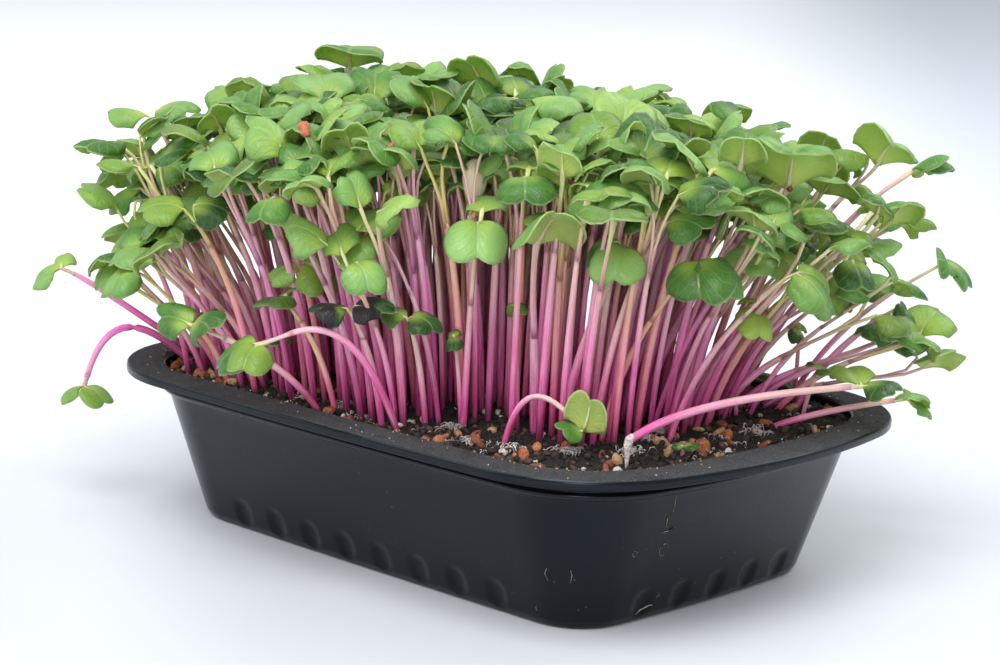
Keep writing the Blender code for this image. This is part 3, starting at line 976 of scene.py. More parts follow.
class Leaf:
    """How one leaf is held, and the curved surface that this gives."""

    def __init__(self, base, facing, hold, width, twist, wave, phase):
        self.base = base
        self.out = heading(facing)
        self.side = self.out.cross(UP)
        self.climb, self.droop, self.roll, self.rise, self.curl, self.rim, self.tilt = (
            math.radians(angle) for angle in hold)
        self.width = width
        self.twist = twist
        self.wave = wave
        self.phase = phase

    def frame_at(self, share):
        """The midrib's point, direction, sideways and upper direction at a share of its length."""
        ahead, lift = double_swing(self.climb, self.droop, self.roll, ROLL_FROM, share)
        length = self.width * LEAF_REACH
        angle = self.climb - self.droop * min(share, ROLL_FROM) / ROLL_FROM
        angle -= self.roll * max(0, share - ROLL_FROM) / (1 - ROLL_FROM)
        forward = self.out * math.cos(angle) + UP * math.sin(angle)
        tilt = self.tilt + self.twist * share
        sideways = self.side * math.cos(tilt) + self.side.cross(forward) * math.sin(tilt)
        point = self.base + (self.out * ahead + UP * lift) * length
        return point, forward, sideways, sideways.cross(forward)

    def point(self, across, along):
        """A point on the leaf's upper face."""
        aside, forwards = edge_point(across)
        half = self.width / 2
        stalk_side = math.copysign(STALK_HALF_WIDTH * (1 - along) * abs(across), across)
        aside = aside * self.width * along + stalk_side
        share = forwards * along / LEAF_REACH
        centre, forward, sideways, upper = self.frame_at(share)
        rise = self.rise * (1 - 0.45 * share)
        reach, lift = double_swing(rise, self.curl, self.rim, RIM_FROM, min(1, abs(aside) / half))
        ripple = self.wave * along ** 3 * math.sin(across * 7 + self.phase)
        margin = 0.025 * along ** 7
        return (centre + sideways * math.copysign(reach * half, aside)
                + upper * (lift * half + (ripple - margin) * self.width))


def add_leaf(bm, leaf, columns, rows, tone):
    """One leaf as a closed sheet; its underside knows that it is one."""
    place_layer = bm.verts.layers.float_vector["place"]
    tone_layer = bm.verts.layers.float_vector["tone"]
    grid = bmesh.ops.create_grid(bm, x_segments=columns, y_segments=rows, size=1.0)["verts"]
    faces = list({face for vert in grid for face in vert.link_faces})
    for vert in grid:
        across = vert.co.x
        along = ((vert.co.y + 1) / 2) ** 0.85
        vert[place_layer] = (across, along, 0.0)
        vert[tone_layer] = tone
        vert.co = leaf.point(across, along)
    for face in faces:
        face.normal_update()
        face.material_index = 1
    known = set(bm.verts)
    above = {tuple(vert[place_layer].xy): vert.co for vert in grid}
    bmesh.ops.solidify(bm, geom=faces, thickness=LEAF_THICKNESS)
    for vert in set(bm.verts) - known:
        across, along, under = vert[place_layer]
        vert[place_layer] = (across, along, 1.0)
        top = above[across, along]
        gap = vert.co - top
        vert.co = top + gap * min(1, THICKEST / max(gap.length, THICKEST / 10))


print("seed leaf", round(LEAF_REACH, 2), "as long as it is wide")

# %% [markdown]
# ## Leaf and stem finishes
#
# The leaf is deep green above and yellow-green below, with pale veins that fan out from
# the midrib and a fine net between them. The underside's pale yellow-green is partly its
# own colour and partly painted light, brightened for the light that comes through it.
# Light comes through it, so a Translucent shader is mixed in. The stem goes from magenta
# at the soil through pink to olive at the leaf, in fine streaks along its length.

# %% Leaf finish
def leaf_veins(tree, across, along):
    """How strongly a vein shows: the midrib, the side veins and a fine net."""
    away = calc(tree, "ABSOLUTE", across)
    place = object_place(tree)
    aside = times(tree, away, along)
    midrib = step(tree, aside, 0.05, 0.012)
    wander = times(tree, mottle(tree, place, 200, 1.0), 1.1)
    sweep = minus(tree, times(tree, along, 3.2), times(tree, away, 4.6))
    turn = calc(tree, "FRACT", plus(tree, sweep, wander))
    line = calc(tree, "ABSOLUTE", minus(tree, turn, 0.5))
    side_veins = times(tree, step(tree, line, 0.10, 0.02), 0.75)
    net = times(tree, step(tree, cells(tree, place, 620, "DISTANCE_TO_EDGE"), 0.10, 0.0), 0.3)
    return calc(tree, "MAXIMUM", midrib, calc(tree, "MAXIMUM", side_veins, net))


def leaf_finish():
    """A seed leaf: deep green above, pale below (partly painted light), veined, and letting light through.
    """
    finish, tree, shader = new_finish("seed_leaf")
    across, along, under = attribute(tree, "place")
    shade, yellow, dark = attribute(tree, "tone")
    place = object_place(tree)
    veins = leaf_veins(tree, across, along)
    cloud = mottle(tree, place, 130, 3.0)
    depth = plus(tree, shade, times(tree, minus(tree, cloud, 0.5), 0.7))
    upper = ramp(tree, depth, (
        (0.05, (0.014, 0.070, 0.012)), (0.45, (0.078, 0.240, 0.028)), (0.95, (0.320, 0.560, 0.170))))
    base_glow = step(tree, along, 0.65, 0.10, 0.0, 0.8)
    upper = blend(tree, base_glow, upper, (0.45, 0.62, 0.10))
    upper = blend(tree, yellow, upper, (0.47, 0.63, 0.09))
    upper = blend(tree, times(tree, veins, 0.28), upper, (0.42, 0.60, 0.27))
    # the underside: its own paler colour, brightened as painted light that shines through the leaf
    lower = blend(tree, times(tree, veins, 0.5), (0.52, 0.64, 0.17), (0.70, 0.74, 0.36))
    lower = blend(tree, step(tree, cloud, 0.3, 0.8), lower, (0.30, 0.48, 0.08))
    lower = blend(tree, base_glow, lower, (0.66, 0.74, 0.20))
    patches = times(tree, dark, step(tree, mottle(tree, place, 110, 2.0), 0.34, 0.5))
    colour = blend(tree, under, upper, lower)
    rim = step(tree, along, 0.950, 1.0, 0.0, 0.65)
    colour = blend(tree, rim, colour, (0.52, 0.64, 0.30))
    colour = blend(tree, patches, colour, (0.030, 0.026, 0.028))
    relief = minus(tree, times(tree, mottle(tree, place, 900, 2.0), 0.35),
                  times(tree, veins, 0.8))
    normal = bump(tree, relief, 0.22 * MM, 0.8)
    fill(tree, shader, {
        "Base Color": colour,
        "Roughness": plus(tree, 0.33, times(tree, under, 0.24)),
        "Sheen Weight": 0.10,
        "IOR": 1.5,
        "Sheen Roughness": 0.45,
        "Sheen Tint": (0.78, 0.94, 1.0, 1.0),
        "Normal": normal,
    })
    glow = blend(tree, 0.45, colour, (0.60, 0.86, 0.10))
    glow = blend(tree, patches, glow, (0.05, 0.04, 0.04))
    through = node(tree, "BsdfTranslucent", {"Color": glow, "Normal": normal}).outputs[0]
    mixed = node(tree, "MixShader", {0: 0.34, 1: shader.outputs[0], 2: through}).outputs[0]
    tree.links.new(mixed, tree.nodes["Material Output"].inputs["Surface"])
    return finish


print("leaf finish written")

# %% Stem finish
def stem_finish():
    """A stem or stalk: magenta at the soil, olive at the leaf, with fine streaks."""
    finish, tree, shader = new_finish("stem_skin")
    x, y, age = attribute(tree, "place")
    shade, pale, length = attribute(tree, "tone")
    scaled = [times(tree, part, 3.4) for part in (x, y)]
    run = times(tree, plus(tree, age, times(tree, shade, 9.0)), 4.0)
    streaks = mottle(tree, join_up(tree, *scaled, run), 1.6, 4.0, 0.65)
    patches = mottle(tree, object_place(tree), 90, 3.0)
    drift = plus(tree, times(tree, minus(tree, patches, 0.5), 0.35),
                 times(tree, minus(tree, shade, 0.5), 0.30))
    colour = ramp(tree, plus(tree, age, drift), (
        (0.02, (0.52, 0.040, 0.190)), (0.18, (0.78, 0.110, 0.400)), (0.40, (0.86, 0.320, 0.540)),
        (0.60, (0.80, 0.430, 0.450)), (0.78, (0.74, 0.500, 0.330)), (0.97, (0.62, 0.680, 0.240))))
    faded = times(tree, pale, step(tree, age, 0.05, 0.5))
    colour = blend(tree, faded, colour, (0.74, 0.64, 0.46))
    band = times(tree, step(tree, age, 0.590, 0.612), step(tree, age, 0.650, 0.628))
    colour = blend(tree, times(tree, band, 0.45), colour, (0.36, 0.05, 0.13))
    colour = blend(tree, step(tree, streaks, 0.46, 0.72, 0.0, 0.5), colour, (0.86, 0.62, 0.70))
    colour = blend(tree, step(tree, streaks, 0.50, 0.28, 0.0, 0.55), colour, (0.24, 0.045, 0.11))
    colour = blend(tree, step(tree, shade, 0.40, 0.05), colour, (0.97, 0.86, 1.08), "MULTIPLY")
    colour = blend(tree, step(tree, shade, 0.65, 1.0), colour, (1.0, 0.92, 0.66), "MULTIPLY")
    fill(tree, shader, {
        "Base Color": colour,
        "Roughness": plus(tree, 0.34, times(tree, streaks, 0.2)),
        "Normal": bump(tree, streaks, 0.18 * MM, 0.7),
        "Subsurface Weight": 0.25,
        "Subsurface Radius": (1.0, 0.35, 0.3),
        "Subsurface Scale": 0.9 * MM,
    })
    return finish


plant_finishes = [stem_finish(), leaf_finish()]
print("finishes:", [finish.name for finish in plant_finishes])

# %% [markdown]
# ## One seedling
#
# The stem rises from the soil to the fork, where a small bud sits between the stalks.
# Each stalk starts inside the stem's end, swings out and runs on under its leaf as the
# midrib, getting thinner all the way. Plants that stand out get fine meshes; the crowd
# gets coarse ones, because there are hundreds of them.

# %% Seedling
CROWD_EDGE = 15.5 * MM
HOLD = {
    # climb, droop and roll along the midrib; rise, curl and rim across it; tilt, in degrees
    "fan": (64, 12, 100, 32, 30, 60, 0),
    "cap": (66, 50, 45, 14, 24, 60, 0),
    "upright": (70, 20, 45, 26, 40, 50, 0),
    "raised": (44, 26, 50, 24, 44, 55, 0),
    "wing": (22, 30, 45, 20, 46, 60, 0),
    "hang": (-4, 38, 34, 16, 42, 55, 0),
}
HOLD_SPREAD = (12, 16, 26, 14, 22, 24, 17)
TURN_TO_LIGHT = 34
ANY_TWIST = 0.3
ANY_WAVE = (0.01, 0.04)
FORK_AGE = 0.62
STALK_AGING = 0.36
BUD_GIRTHS = (0.35, 0.72, 0.80, 0.5, 0.12)
STALK_SPREAD = 0.17
STEM_RADIUS = 0.98 * MM
FINE = {"stem": (12, 16), "stalk": (8, 11), "midrib": 5, "leaf": (20, 11), "bud": True}
COARSE = {"stem": (7, 7), "stalk": (5, 5), "midrib": 2, "leaf": (12, 4), "bud": False}


def outward(x, y):
    """How far a root is from the middle, as a share of the rim, and the way outwards."""
    spread = Vector((x / (STRAIGHT_LENGTH / 2 - CROWD_EDGE), y / (STRAIGHT_WIDTH / 2 - CROWD_EDGE), 0))
    rim = min(1.0, spread.length)
    return rim, spread.normalized() if rim > 0.01 else Vector((1, 0, 0))


def add_seedling(bm, foot, turning, fork, stalk, leaves, detail, look, rng):
    """One plant: stem, bud, and two stalks with a leaf each; returns how its leaves are held.

    A leaf near the rim turns its upper face outwards, to the light."""
    rim, outwards = outward(foot.x, foot.y)
    path = (foot, turning, fork)
    shade = look.get("shade", rng.uniform(0.0, 1.0))
    pale = look.get("pale", rng.choice((0.0, 0.0, 0.15, 0.3, 0.7)))
    radius = STEM_RADIUS * look.get("girth", rng.uniform(0.74, 1.10))
    apart = heading(leaves[0][1]) - heading(leaves[1][1])
    sides, rings = detail["stem"]
    stations = []
    for count in range(rings):
        share = count / (rings - 1)
        forward = course(path, share)
        sideways = square_to(apart, forward)
        swell = 1.04 - 0.12 * (1 - share) ** 6 - 0.26 * share ** 3
        half = radius * swell
        stations.append((bend(path, share), forward, sideways, half, half, FORK_AGE * share))
    tip = stations[-1]
    stations.append((tip[0] + tip[1] * radius * 0.9, tip[1], tip[2], radius * 0.4, radius * 0.35, 0.7))
    add_rod(bm, stations, sides, (shade, pale, 0.0))
    along = stations[-1][1]
    if detail["bud"]:
        bud = [(tip[0] + along * radius * (0.4 + 0.75 * count), along, tip[2],
                radius * girth, radius * girth * 0.7, 0.95)
               for count, girth in enumerate(BUD_GIRTHS)]
        add_rod(bm, bud, sides, (0.5, 0.0, 0.0))
    grown = []
    for number, (hold, facing, width) in enumerate(leaves):
        held = look.get("holds", (None, None))[number]
        if held is None:
            held = [angle + rng.uniform(-1, 1) * spread for angle, spread in zip(HOLD[hold], HOLD_SPREAD)]
            held[-1] -= TURN_TO_LIGHT * rim ** 2 * heading(facing).cross(UP).dot(outwards)
        out = heading(facing)
        begin = fork - along * radius * 0.8 + out * radius * 0.35
        base = fork + (along + out * STALK_SPREAD).normalized() * stalk
        climb = math.radians(held[0])
        arrive = (along + out * math.cos(climb) + UP * math.sin(climb)).normalized()
        route = (begin, fork + along * stalk * 0.45, base - arrive * stalk * 0.25, base)
        twist = rng.uniform(-ANY_TWIST, ANY_TWIST)
        leaf = Leaf(base, facing, held, width, twist, rng.uniform(*ANY_WAVE), rng.uniform(0, 6))
        sides, rings = detail["stalk"]
        stations = []
        for count in range(rings):
            share = count / (rings - 1)
            half = (0.74 - 0.16 * share) * radius * (1 - 0.10 * math.sin(share * math.pi))
            flare = 1 + 0.35 * share ** 5
            forward = course(route, share)
            stations.append((bend(route, share), forward, square_to(leaf.side, forward),
                             half * flare, half * 0.8, FORK_AGE + STALK_AGING * share))
        for count in range(1, detail["midrib"] + 1):
            share = count / detail["midrib"]
            point, forward, sideways, upper = leaf.frame_at(share * 0.72)
            size = (0.62 - 0.5 * share) * MM
            stations.append((point - upper * (0.34 * MM + size * 0.25), forward, sideways, size, size, 1.0))
        add_rod(bm, stations, sides, (shade, pale * 0.6, 0.0))
        tone = (min(1, max(0, look.get("leaf_shade", rng.uniform(0.1, 0.9)) + rng.uniform(-0.1, 0.1))),
                look.get("yellow", max(0, rng.uniform(-0.7, 0.45))), look.get("dark", 0.0))
        add_leaf(bm, leaf, *detail["leaf"], tone)
        grown.append(leaf)
    return grown


print("seedling helper ready")

# %% [markdown]
# ## The plants that stand out
#
# These are the seedlings of the fixed frame, one finely made plant for each. Their
# roots, forks and leaves are the frame's own construction, in millimetres: root on the
# soil, a point that the stem passes, the fork, the stalks' length, and for each leaf how
# it is held, the way it points in degrees from +X, and its width.

# %% Plan of the named plants
SEEDLINGS = (
    ("tall_back", (-55, 1), (), (-64, 2, 114), 13, ("fan", 315, 21), ("fan", 135, 20)),
    ("broad_back", (-9, 40), (), (-4, 44, 110), 9, ("raised", 15, 24), ("raised", 205, 18)),
    ("upright_mid", (-21, -6), (), (-21, -6, 108), 9, ("upright", 285, 17), ("upright", 15, 17)),
    ("oblique_mid", (-1, 6), (), (-1, 6, 112), 12, ("wing", 35, 23), ("wing", 235, 17)),
    ("long_fork", (41, -30), (), (43, -34, 70), 27, ("fan", 335, 24), ("raised", 105, 15)),
    ("kidney_front", (25, -40), (), (29, -43, 77), 24, ("hang", 315, 20), ("raised", 120, 14)),
    ("round_front", (57, -22), (), (68, -17, 76), 20, ("hang", 315, 21), ("hang", 5, 18)),
    ("folded_front", (50, -30), (), (59, -28, 78), 20, ("hang", 295, 18), ("hang", 245, 15)),
    ("heart_right", (68, -8), (), (83, 1, 77), 18, ("hang", 5, 18), ("hang", 55, 17)),
    ("low_yellow", (60, 10), (), (69, 13, 65), 14, ("hang", 315, 15), ("wing", 135, 12)),
    ("fan_right", (49, 2), (), (71, 12, 94), 20, ("fan", 315, 26), ("fan", 135, 22)),
    ("round_right", (58, -3), (), (77, 7, 90), 20, ("wing", 25, 16), ("wing", 255, 13)),
    ("tall_right", (47, 43), (), (68, 58, 99), 16, ("fan", 335, 20), ("wing", 235, 18)),
    ("edge_top", (42, 56), (), (68, 75, 99), 14, ("raised", 35, 15), ("wing", 65, 16)),
    ("brown_right", (50, 44), (), (72, 61, 87), 12, ("fan", 345, 18), ("fan", 165, 15)),
    ("edge_mid", (36, 56), (), (60, 80, 84), 14, ("wing", 45, 15), ("wing", 255, 13)),
    ("edge_out", (58, 56), (), (73, 84, 74), 15, ("hang", 45, 15), ("wing", 315, 12)),
    ("edge_low", (66, 48), (), (79, 66, 68), 7, ("hang", 45, 12), ("hang", 355, 11)),
    ("lying_stem", (79, -37), ((85, -12, 54),), (99, 27, 58), 4, ("raised", 165, 13), ("wing", 15, 14)),
    ("corner_stem", (74, 27), ((84, 34, 47),), (100, 46, 52), 3, ("raised", 345, 12), ("hang", 65, 13)),
    ("arch_left", (17, -56), ((9, -66, 65),), (-1, -78, 68), 9, ("hang", 225, 18), ("hang", 295, 15)),
    ("arch_small", (46, -47), ((51, -43, 56),), (62, -38, 51), 3, ("raised", 10, 13), ("wing", 255, 9)),
    ("short_yellow", (18, -47), (), (18, -53, 69), 4, ("wing", 15, 12), ("wing", 215, 11)),
    ("dark_pair", (11, -56), (), (9, -62, 67), 9, ("wing", 245, 13), ("wing", 15, 13)),
    ("wavy_left", (-12, -57), (), (-26, -79, 63), 9, ("wing", 345, 14), ("wing", 205, 14)),
    ("low_left", (-9, -54), (), (-16, -61, 67), 8, ("wing", 290, 13), ("wing", 110, 12)),
    ("lobed_left", (-11, -44), (), (-17, -54, 74), 9, ("hang", 15, 15), ("hang", 235, 13)),
    ("long_left", (-39, -56), (), (-45, -68, 84), 12, ("wing", 235, 17), ("wing", 25, 15)),
    ("droop_left", (-81, -38), ((-101, -54, 58),), (-110, -64, 66), 4,
     ("hang", 225, 14), ("raised", 135, 10)),
    ("hang_left", (-80, -44), ((-98, -54, 51),), (-106, -62, 36), 3, ("hang", 235, 12), ("hang", 15, 12)),
    ("cluster_left", (-81, -27), (), (-97, -42, 73), 9, ("wing", 245, 15), ("wing", 15, 14)),
    ("top_left", (-84, -26), (), (-102, -35, 101), 12, ("wing", 225, 17), ("wing", 15, 17)),
    ("pale_mid", (18, -42), (), (14, -50, 78), 18, ("hang", 240, 19), ("raised", 165, 16)),
    ("fan_mid", (18, -32), (), (11, -34, 91), 13, ("fan", 325, 16), ("wing", 205, 14)),
    ("stalk_mid", (34, -30), (), (34, -30, 99), 15, ("wing", 25, 14), ("wing", 245, 13)),
    ("veined_mid", (60, -29), (), (67, -22, 89), 14, ("raised", 135, 18), ("wing", 15, 15)),
    ("wing_left", (-20, -30), (), (-29, -38, 76), 15, ("wing", 5, 17), ("wing", 195, 16)),
    ("fan_left", (-68, -43), (), (-73, -48, 84), 13, ("fan", 315, 18), ("wing", 135, 17)),
)
FAR_COUNT = 13
FAR_FIRST_ANGLE = 62
FAR_LAST_ANGLE = 194
FAR_ROOT_RADII = (72, 46)
FAR_LEAN = 16
FAR_HEIGHTS = (88, 100, 94, 106)
FAR_STALK = 14
FAR_LEAF_WIDTH = 16
MIDDLE_ROWS = ((20, -38), (-21, -52))
MIDDLE_PITCH = 31
MIDDLE_PER_ROW = 3
MIDDLE_HEIGHT = 97
MIDDLE_FACING = 50
MIDDLE_STALK = 12
MIDDLE_LEAF_WIDTH = 15


def far_seedlings():
    """Seedlings leaning outwards in an even fan round the far side of the tray."""
    plan = []
    for count in range(FAR_COUNT):
        angle = FAR_FIRST_ANGLE + (FAR_LAST_ANGLE - FAR_FIRST_ANGLE) * count / (FAR_COUNT - 1)
        out = heading(angle)
        root = (out.x * FAR_ROOT_RADII[0], out.y * FAR_ROOT_RADII[1])
        height = FAR_HEIGHTS[count % len(FAR_HEIGHTS)]
        fork = (root[0] + out.x * FAR_LEAN, root[1] + out.y * FAR_LEAN, height)
        pair = [("wing", angle + turn, FAR_LEAF_WIDTH) for turn in (0, 180)]
        plan.append((f"far_{count:02d}", root, (), fork, FAR_STALK, *pair))
    return plan


def middle_seedlings():
    """Upright seedlings in staggered rows, which carry the top of the canopy."""
    plan = []
    for y, first_x in MIDDLE_ROWS:
        for count in range(MIDDLE_PER_ROW):
            root = (first_x + count * MIDDLE_PITCH, y)
            fork = (*root, MIDDLE_HEIGHT)
            pair = [("wing", MIDDLE_FACING + turn, MIDDLE_LEAF_WIDTH) for turn in (0, 180)]
            plan.append((f"middle_{len(plan):02d}", root, (), fork, MIDDLE_STALK, *pair))
    return plan


named_plan = [*SEEDLINGS, *far_seedlings(), *middle_seedlings()]
print(len(named_plan), "named plants planned")

# %% [markdown]
# ## Growing the named plants
#
# A few of them look unlike the rest: one pair is nearly black, some leaves are yellow,
# some stems are pale, and one lying stem has come out of the soil and stands lifted on
# its bare root. Those differences are written down; all others are drawn at random from
# a fixed seed, so the tray comes out the same each time.

# %% Named plants
LOOKS = {
    "dark_pair": {"dark": 1.0, "leaf_shade": 0.0},
    "low_left": {"dark": 0.3, "leaf_shade": 0.15},
    "heart_right": {"leaf_shade": 0.55, "yellow": 0.1},
    "low_yellow": {"yellow": 0.85, "leaf_shade": 0.9},
    "long_fork": {"yellow": 0.1, "leaf_shade": 0.6, "girth": 1.35, "pale": 0.45,
                  "holds": ((50, 15, 15, 28, 70, 35, 0), None)},
    "kidney_front": {"leaf_shade": 0.95, "yellow": 0.0, "holds": ((-5, 38, 30, 36, 62, 40, 0), None)},
    "pale_mid": {"leaf_shade": 0.7, "yellow": 0.25, "holds": (None, (50, 30, 45, 12, 45, 40, -8))},
    "tall_back": {"leaf_shade": 0.3, "pale": 0.7,
                  "holds": ((80, 76, 8, 6, 8, 45, 0), (76, 72, 6, 6, 8, 45, 0))},
    "broad_back": {"leaf_shade": 0.85, "yellow": 0.1},
    "fan_right": {"leaf_shade": 0.6, "girth": 1.1, "holds": ((64, 12, 100, 36, 24, 70, 0), None)},
    "lying_stem": {"pale": 0.3, "shade": 0.7, "leaf_shade": 0.1, "lifted": 7, "girth": 1.1},
    "arch_small": {"pale": 0.5, "shade": 0.6, "leaf_shade": 0.4, "yellow": 0.0,
                   "holds": ((66, -20, 20, 10, 30, 30, 70), None)},
    "round_front": {"leaf_shade": 0.4, "yellow": 0.0},
    "short_yellow": {"pale": 0.9, "leaf_shade": 0.15},
}
PLANT_SEED = 11
ROOT_DEPTH = 0.9 * MM
EARLY_LEAN = 0.3
EARLY_RISE = 0.6


def stem_course(root, passes, fork):
    """The foot, turning point and fork of a stem, in metres; it starts out steeply."""
    foot = Vector((root[0] * MM, root[1] * MM, 0))
    foot.z = soil_height(foot.x, foot.y) - ROOT_DEPTH
    fork = Vector(fork) * MM
    rise = fork - foot
    turning = foot + Vector((rise.x * EARLY_LEAN, rise.y * EARLY_LEAN, rise.z * EARLY_RISE))
    if passes:
        turning = Vector(passes[0]) * MM * 2 - (foot + fork) / 2
    return foot, turning, fork


rng = random.Random(PLANT_SEED)
blade_places = []
named_leaves = {}
for name, root, passes, fork_place, stalk, *leaves in named_plan:
    look = LOOKS.get(name, {})
    foot, turning, fork = stem_course(root, passes, fork_place)
    foot.z += look.get("lifted", 0) * MM
    bm = start_mesh()
    sized = [(hold, facing, width * MM) for hold, facing, width in leaves]
    grown = add_seedling(bm, foot, turning, fork, stalk * MM, sized, FINE, look, rng)
    named_leaves[name] = grown
    blade_places += [leaf.frame_at(0.5)[0] for leaf in grown]
    add_piece("plant_" + name, bm, plant_finishes, ["seedling_" + name])
print("named plants grown,", len(blade_places), "leaves")

# %% [markdown]
# ## The crowd's roots
#
# Between the named plants stand a few hundred more. Their roots lie on a staggered grid
# with some jitter, as sown seed does. They keep off the named plants and off a clearing
# at the near edge, where a small sprout arches over bare soil.

# %% Roots of the crowd
CROWD_PITCH = 5.9 * MM
ROW_SPACING = 0.866
CROWD_JITTER = 2.0 * MM
ROOT_GAP = 3.0 * MM
CROWD_RIGHT = 64 * MM
CROWD_LEFT = -82 * MM
FRONT_ROOM = 10 * MM
FRONT_ROOM_FROM = 52 * MM
CLEARING = (Vector((47, -47)) * MM, Vector((65, -37)) * MM)
CLEARING_REACH = 6.5 * MM


def gap_to_line(place, start, end):
    """How far a place is from a straight line between two others."""
    span = end - start
    share = min(1, max(0, (place - start).dot(span) / span.length_squared))
    return (place - start - span * share).length


def crowd_roots(rng):
    """Jittered, staggered places for the roots, clear of the named plants."""
    taken = [Vector(plan[1]) * MM for plan in named_plan]
    roots = []
    rows = int(STRAIGHT_WIDTH / (CROWD_PITCH * ROW_SPACING))
    columns = int(STRAIGHT_LENGTH / CROWD_PITCH)
    for row in range(rows):
        for column in range(columns):
            x = (column - columns / 2 + (row % 2) / 2) * CROWD_PITCH + rng.uniform(-1, 1) * CROWD_JITTER
            y = (row - rows / 2 + 0.5) * CROWD_PITCH * ROW_SPACING + rng.uniform(-1, 1) * CROWD_JITTER
            place = Vector((x, y))
            clear = all((place - other).length > ROOT_GAP for other in taken)
            clear = clear and gap_to_line(place, *CLEARING) > CLEARING_REACH
            edge = CROWD_EDGE + FRONT_ROOM * min(1, max(0, x / FRONT_ROOM_FROM))
            if clear and inside_tray(x, y, edge) and CROWD_LEFT < x < CROWD_RIGHT:
                roots.append(Vector((x, y, 0)))
    return roots


rng = random.Random(PLANT_SEED + 1)
roots = crowd_roots(rng)
print(len(roots), "places for the crowd")

# %% [markdown]
# ## One plant of the crowd
#
# The plants lean outwards to the light, more so near the rim, and most at the right end.
# Their height falls off a little towards the rim. At the near side the leaves stand
# higher, so that the coloured stems show under them.

# %% Crowd plant
BLADE_HEIGHT = 118 * MM
EDGE_DROP = 13 * MM
GROWS_TALLER = Vector((-0.686, 0.728, 0))
TALLER_SHARE = 0.03
USUAL_DROP = 14
RIGHT_DROP, LEFT_DROP = 22, 12
FRONT_DROP_SHARE = 0.45
FRONT_NEAR = 36 * MM
FRONT_LEFT = -22 * MM
MIDDLE_LEAN, RIM_LEAN = 2, 8
RIGHT_LEAN, LEFT_LEAN = 14, 3
FULL_SIDE = 80 * MM
CROWD_STALKS = (18, 29)
STALK_RISE = 0.95
FORK_SHIFT = 3
CROWD_REACH = 101 * MM
RIGHT_REACH = 104 * MM
LEFT_REACH = 97 * MM
CROWD_WIDTHS = (13.5, 20.5)
SECOND_WIDTH = (0.78, 1.0)
SECOND_TURN = (145, 215)
RIM_PLANTS = 0.72
RIM_TURN = 80
FRONT_HOLDS = ("wing", "raised", "wing", "raised", "fan", "cap")
OUTER_HOLDS = ("wing", "hang", "wing", "raised", "hang", "cap")
INNER_HOLDS = ("wing", "raised", "wing", "raised", "fan", "cap", "cap", "upright")


def crowd_plant(root, rng):
    """One try at a plant of the crowd: its fork, stalk length and leaves."""
    rim, outwards = outward(root.x, root.y)
    sideways = right.dot(root) / FULL_SIDE
    front = back.dot(root) > FRONT_NEAR and right.dot(root) > FRONT_LEFT
    height = BLADE_HEIGHT + GROWS_TALLER.dot(root) * TALLER_SHARE - EDGE_DROP * rim ** 3
    drop = USUAL_DROP + (RIGHT_DROP if sideways > 0 else LEFT_DROP) * min(1, sideways ** 2)
    height += rng.uniform(-drop * (FRONT_DROP_SHARE if front else 1), 5) * MM
    side_lean = RIGHT_LEAN if sideways > 0 else LEFT_LEAN
    lean = (MIDDLE_LEAN + RIM_LEAN * rim ** 1.5 + side_lean * sideways ** 2) * MM
    stalk = rng.uniform(*CROWD_STALKS) * MM
    jitter = Vector((rng.uniform(-FORK_SHIFT, FORK_SHIFT), rng.uniform(-FORK_SHIFT, FORK_SHIFT), 0)) * MM
    fork = Vector((root.x, root.y, height - stalk * STALK_RISE)) + outwards * lean + jitter
    fork.x = max(-CROWD_REACH, min(CROWD_REACH, fork.x))
    fork -= right * max(0, right.dot(fork) - RIGHT_REACH)
    fork += right * max(0, -right.dot(fork) - LEFT_REACH)
    width = rng.uniform(*CROWD_WIDTHS) * MM
    if rim > RIM_PLANTS:
        facing = math.degrees(math.atan2(outwards.y, outwards.x)) + rng.uniform(-RIM_TURN, RIM_TURN)
        holds = (rng.choice(FRONT_HOLDS if front else OUTER_HOLDS), rng.choice(INNER_HOLDS))
    else:
        facing = rng.uniform(0, 360)
        holds = (rng.choice(INNER_HOLDS), rng.choice(INNER_HOLDS))
    leaves = [(holds[0], facing, width),
              (holds[1], facing + rng.uniform(*SECOND_TURN), width * rng.uniform(*SECOND_WIDTH))]
    return fork, stalk, leaves


print("a crowd plant stands up to", round(BLADE_HEIGHT / MM), "mm high")

# %% [markdown]
# ## Growing the crowd
#
# Each plant turns its two leaves to wherever there is most room. That is worked out by
# trying a few turns and heights and keeping the best one: far from other leaves, and not
# in front of the named plants' leaves, which would be lost behind it. A plant that still
# stands before one of the few leaves that must be seen whole is left out.

# %% Crowd
CROWD_TRIES = 14
SIGHT_GAP = 3 * MM
SIGHT_REACH = 11.5 * MM
HIDING_COST = 9 * MM
HEROES = ("long_fork", "kidney_front", "folded_front", "round_front")
HERO_SHARES = (0.15, 0.5, 0.85)
HERO_REACH = 12 * MM
CURLED_TOP = (Vector((20, -34, 101)), Vector((21, -35, 109)))
CROWD_COLUMNS = 4
CROWD_ROWS = 3


def in_sight(point):
    """Where a point lies across the main line of sight, and how near the viewer it is."""
    return Vector((right.dot(point), above.dot(point))), back.dot(point)


def hidden_behind(blade, leaves, reach):
    """How many of the given leaves a blade would hide from the viewer."""
    place, depth = in_sight(blade)
    return sum(depth > leaf_depth + SIGHT_GAP and (place - leaf_place).length < reach
               for leaf_place, leaf_depth in leaves)


def blade_guess(fork, stalk, leaf):
    """Roughly where the middle of a leaf will be."""
    hold, facing, width = leaf
    climb = math.radians(HOLD[hold][0] - HOLD[hold][1] / 2)
    aim = heading(facing) * math.cos(climb) + UP * math.sin(climb)
    return fork + UP * stalk * STALK_RISE + heading(facing) * 0.3 * stalk + aim * width * 0.38


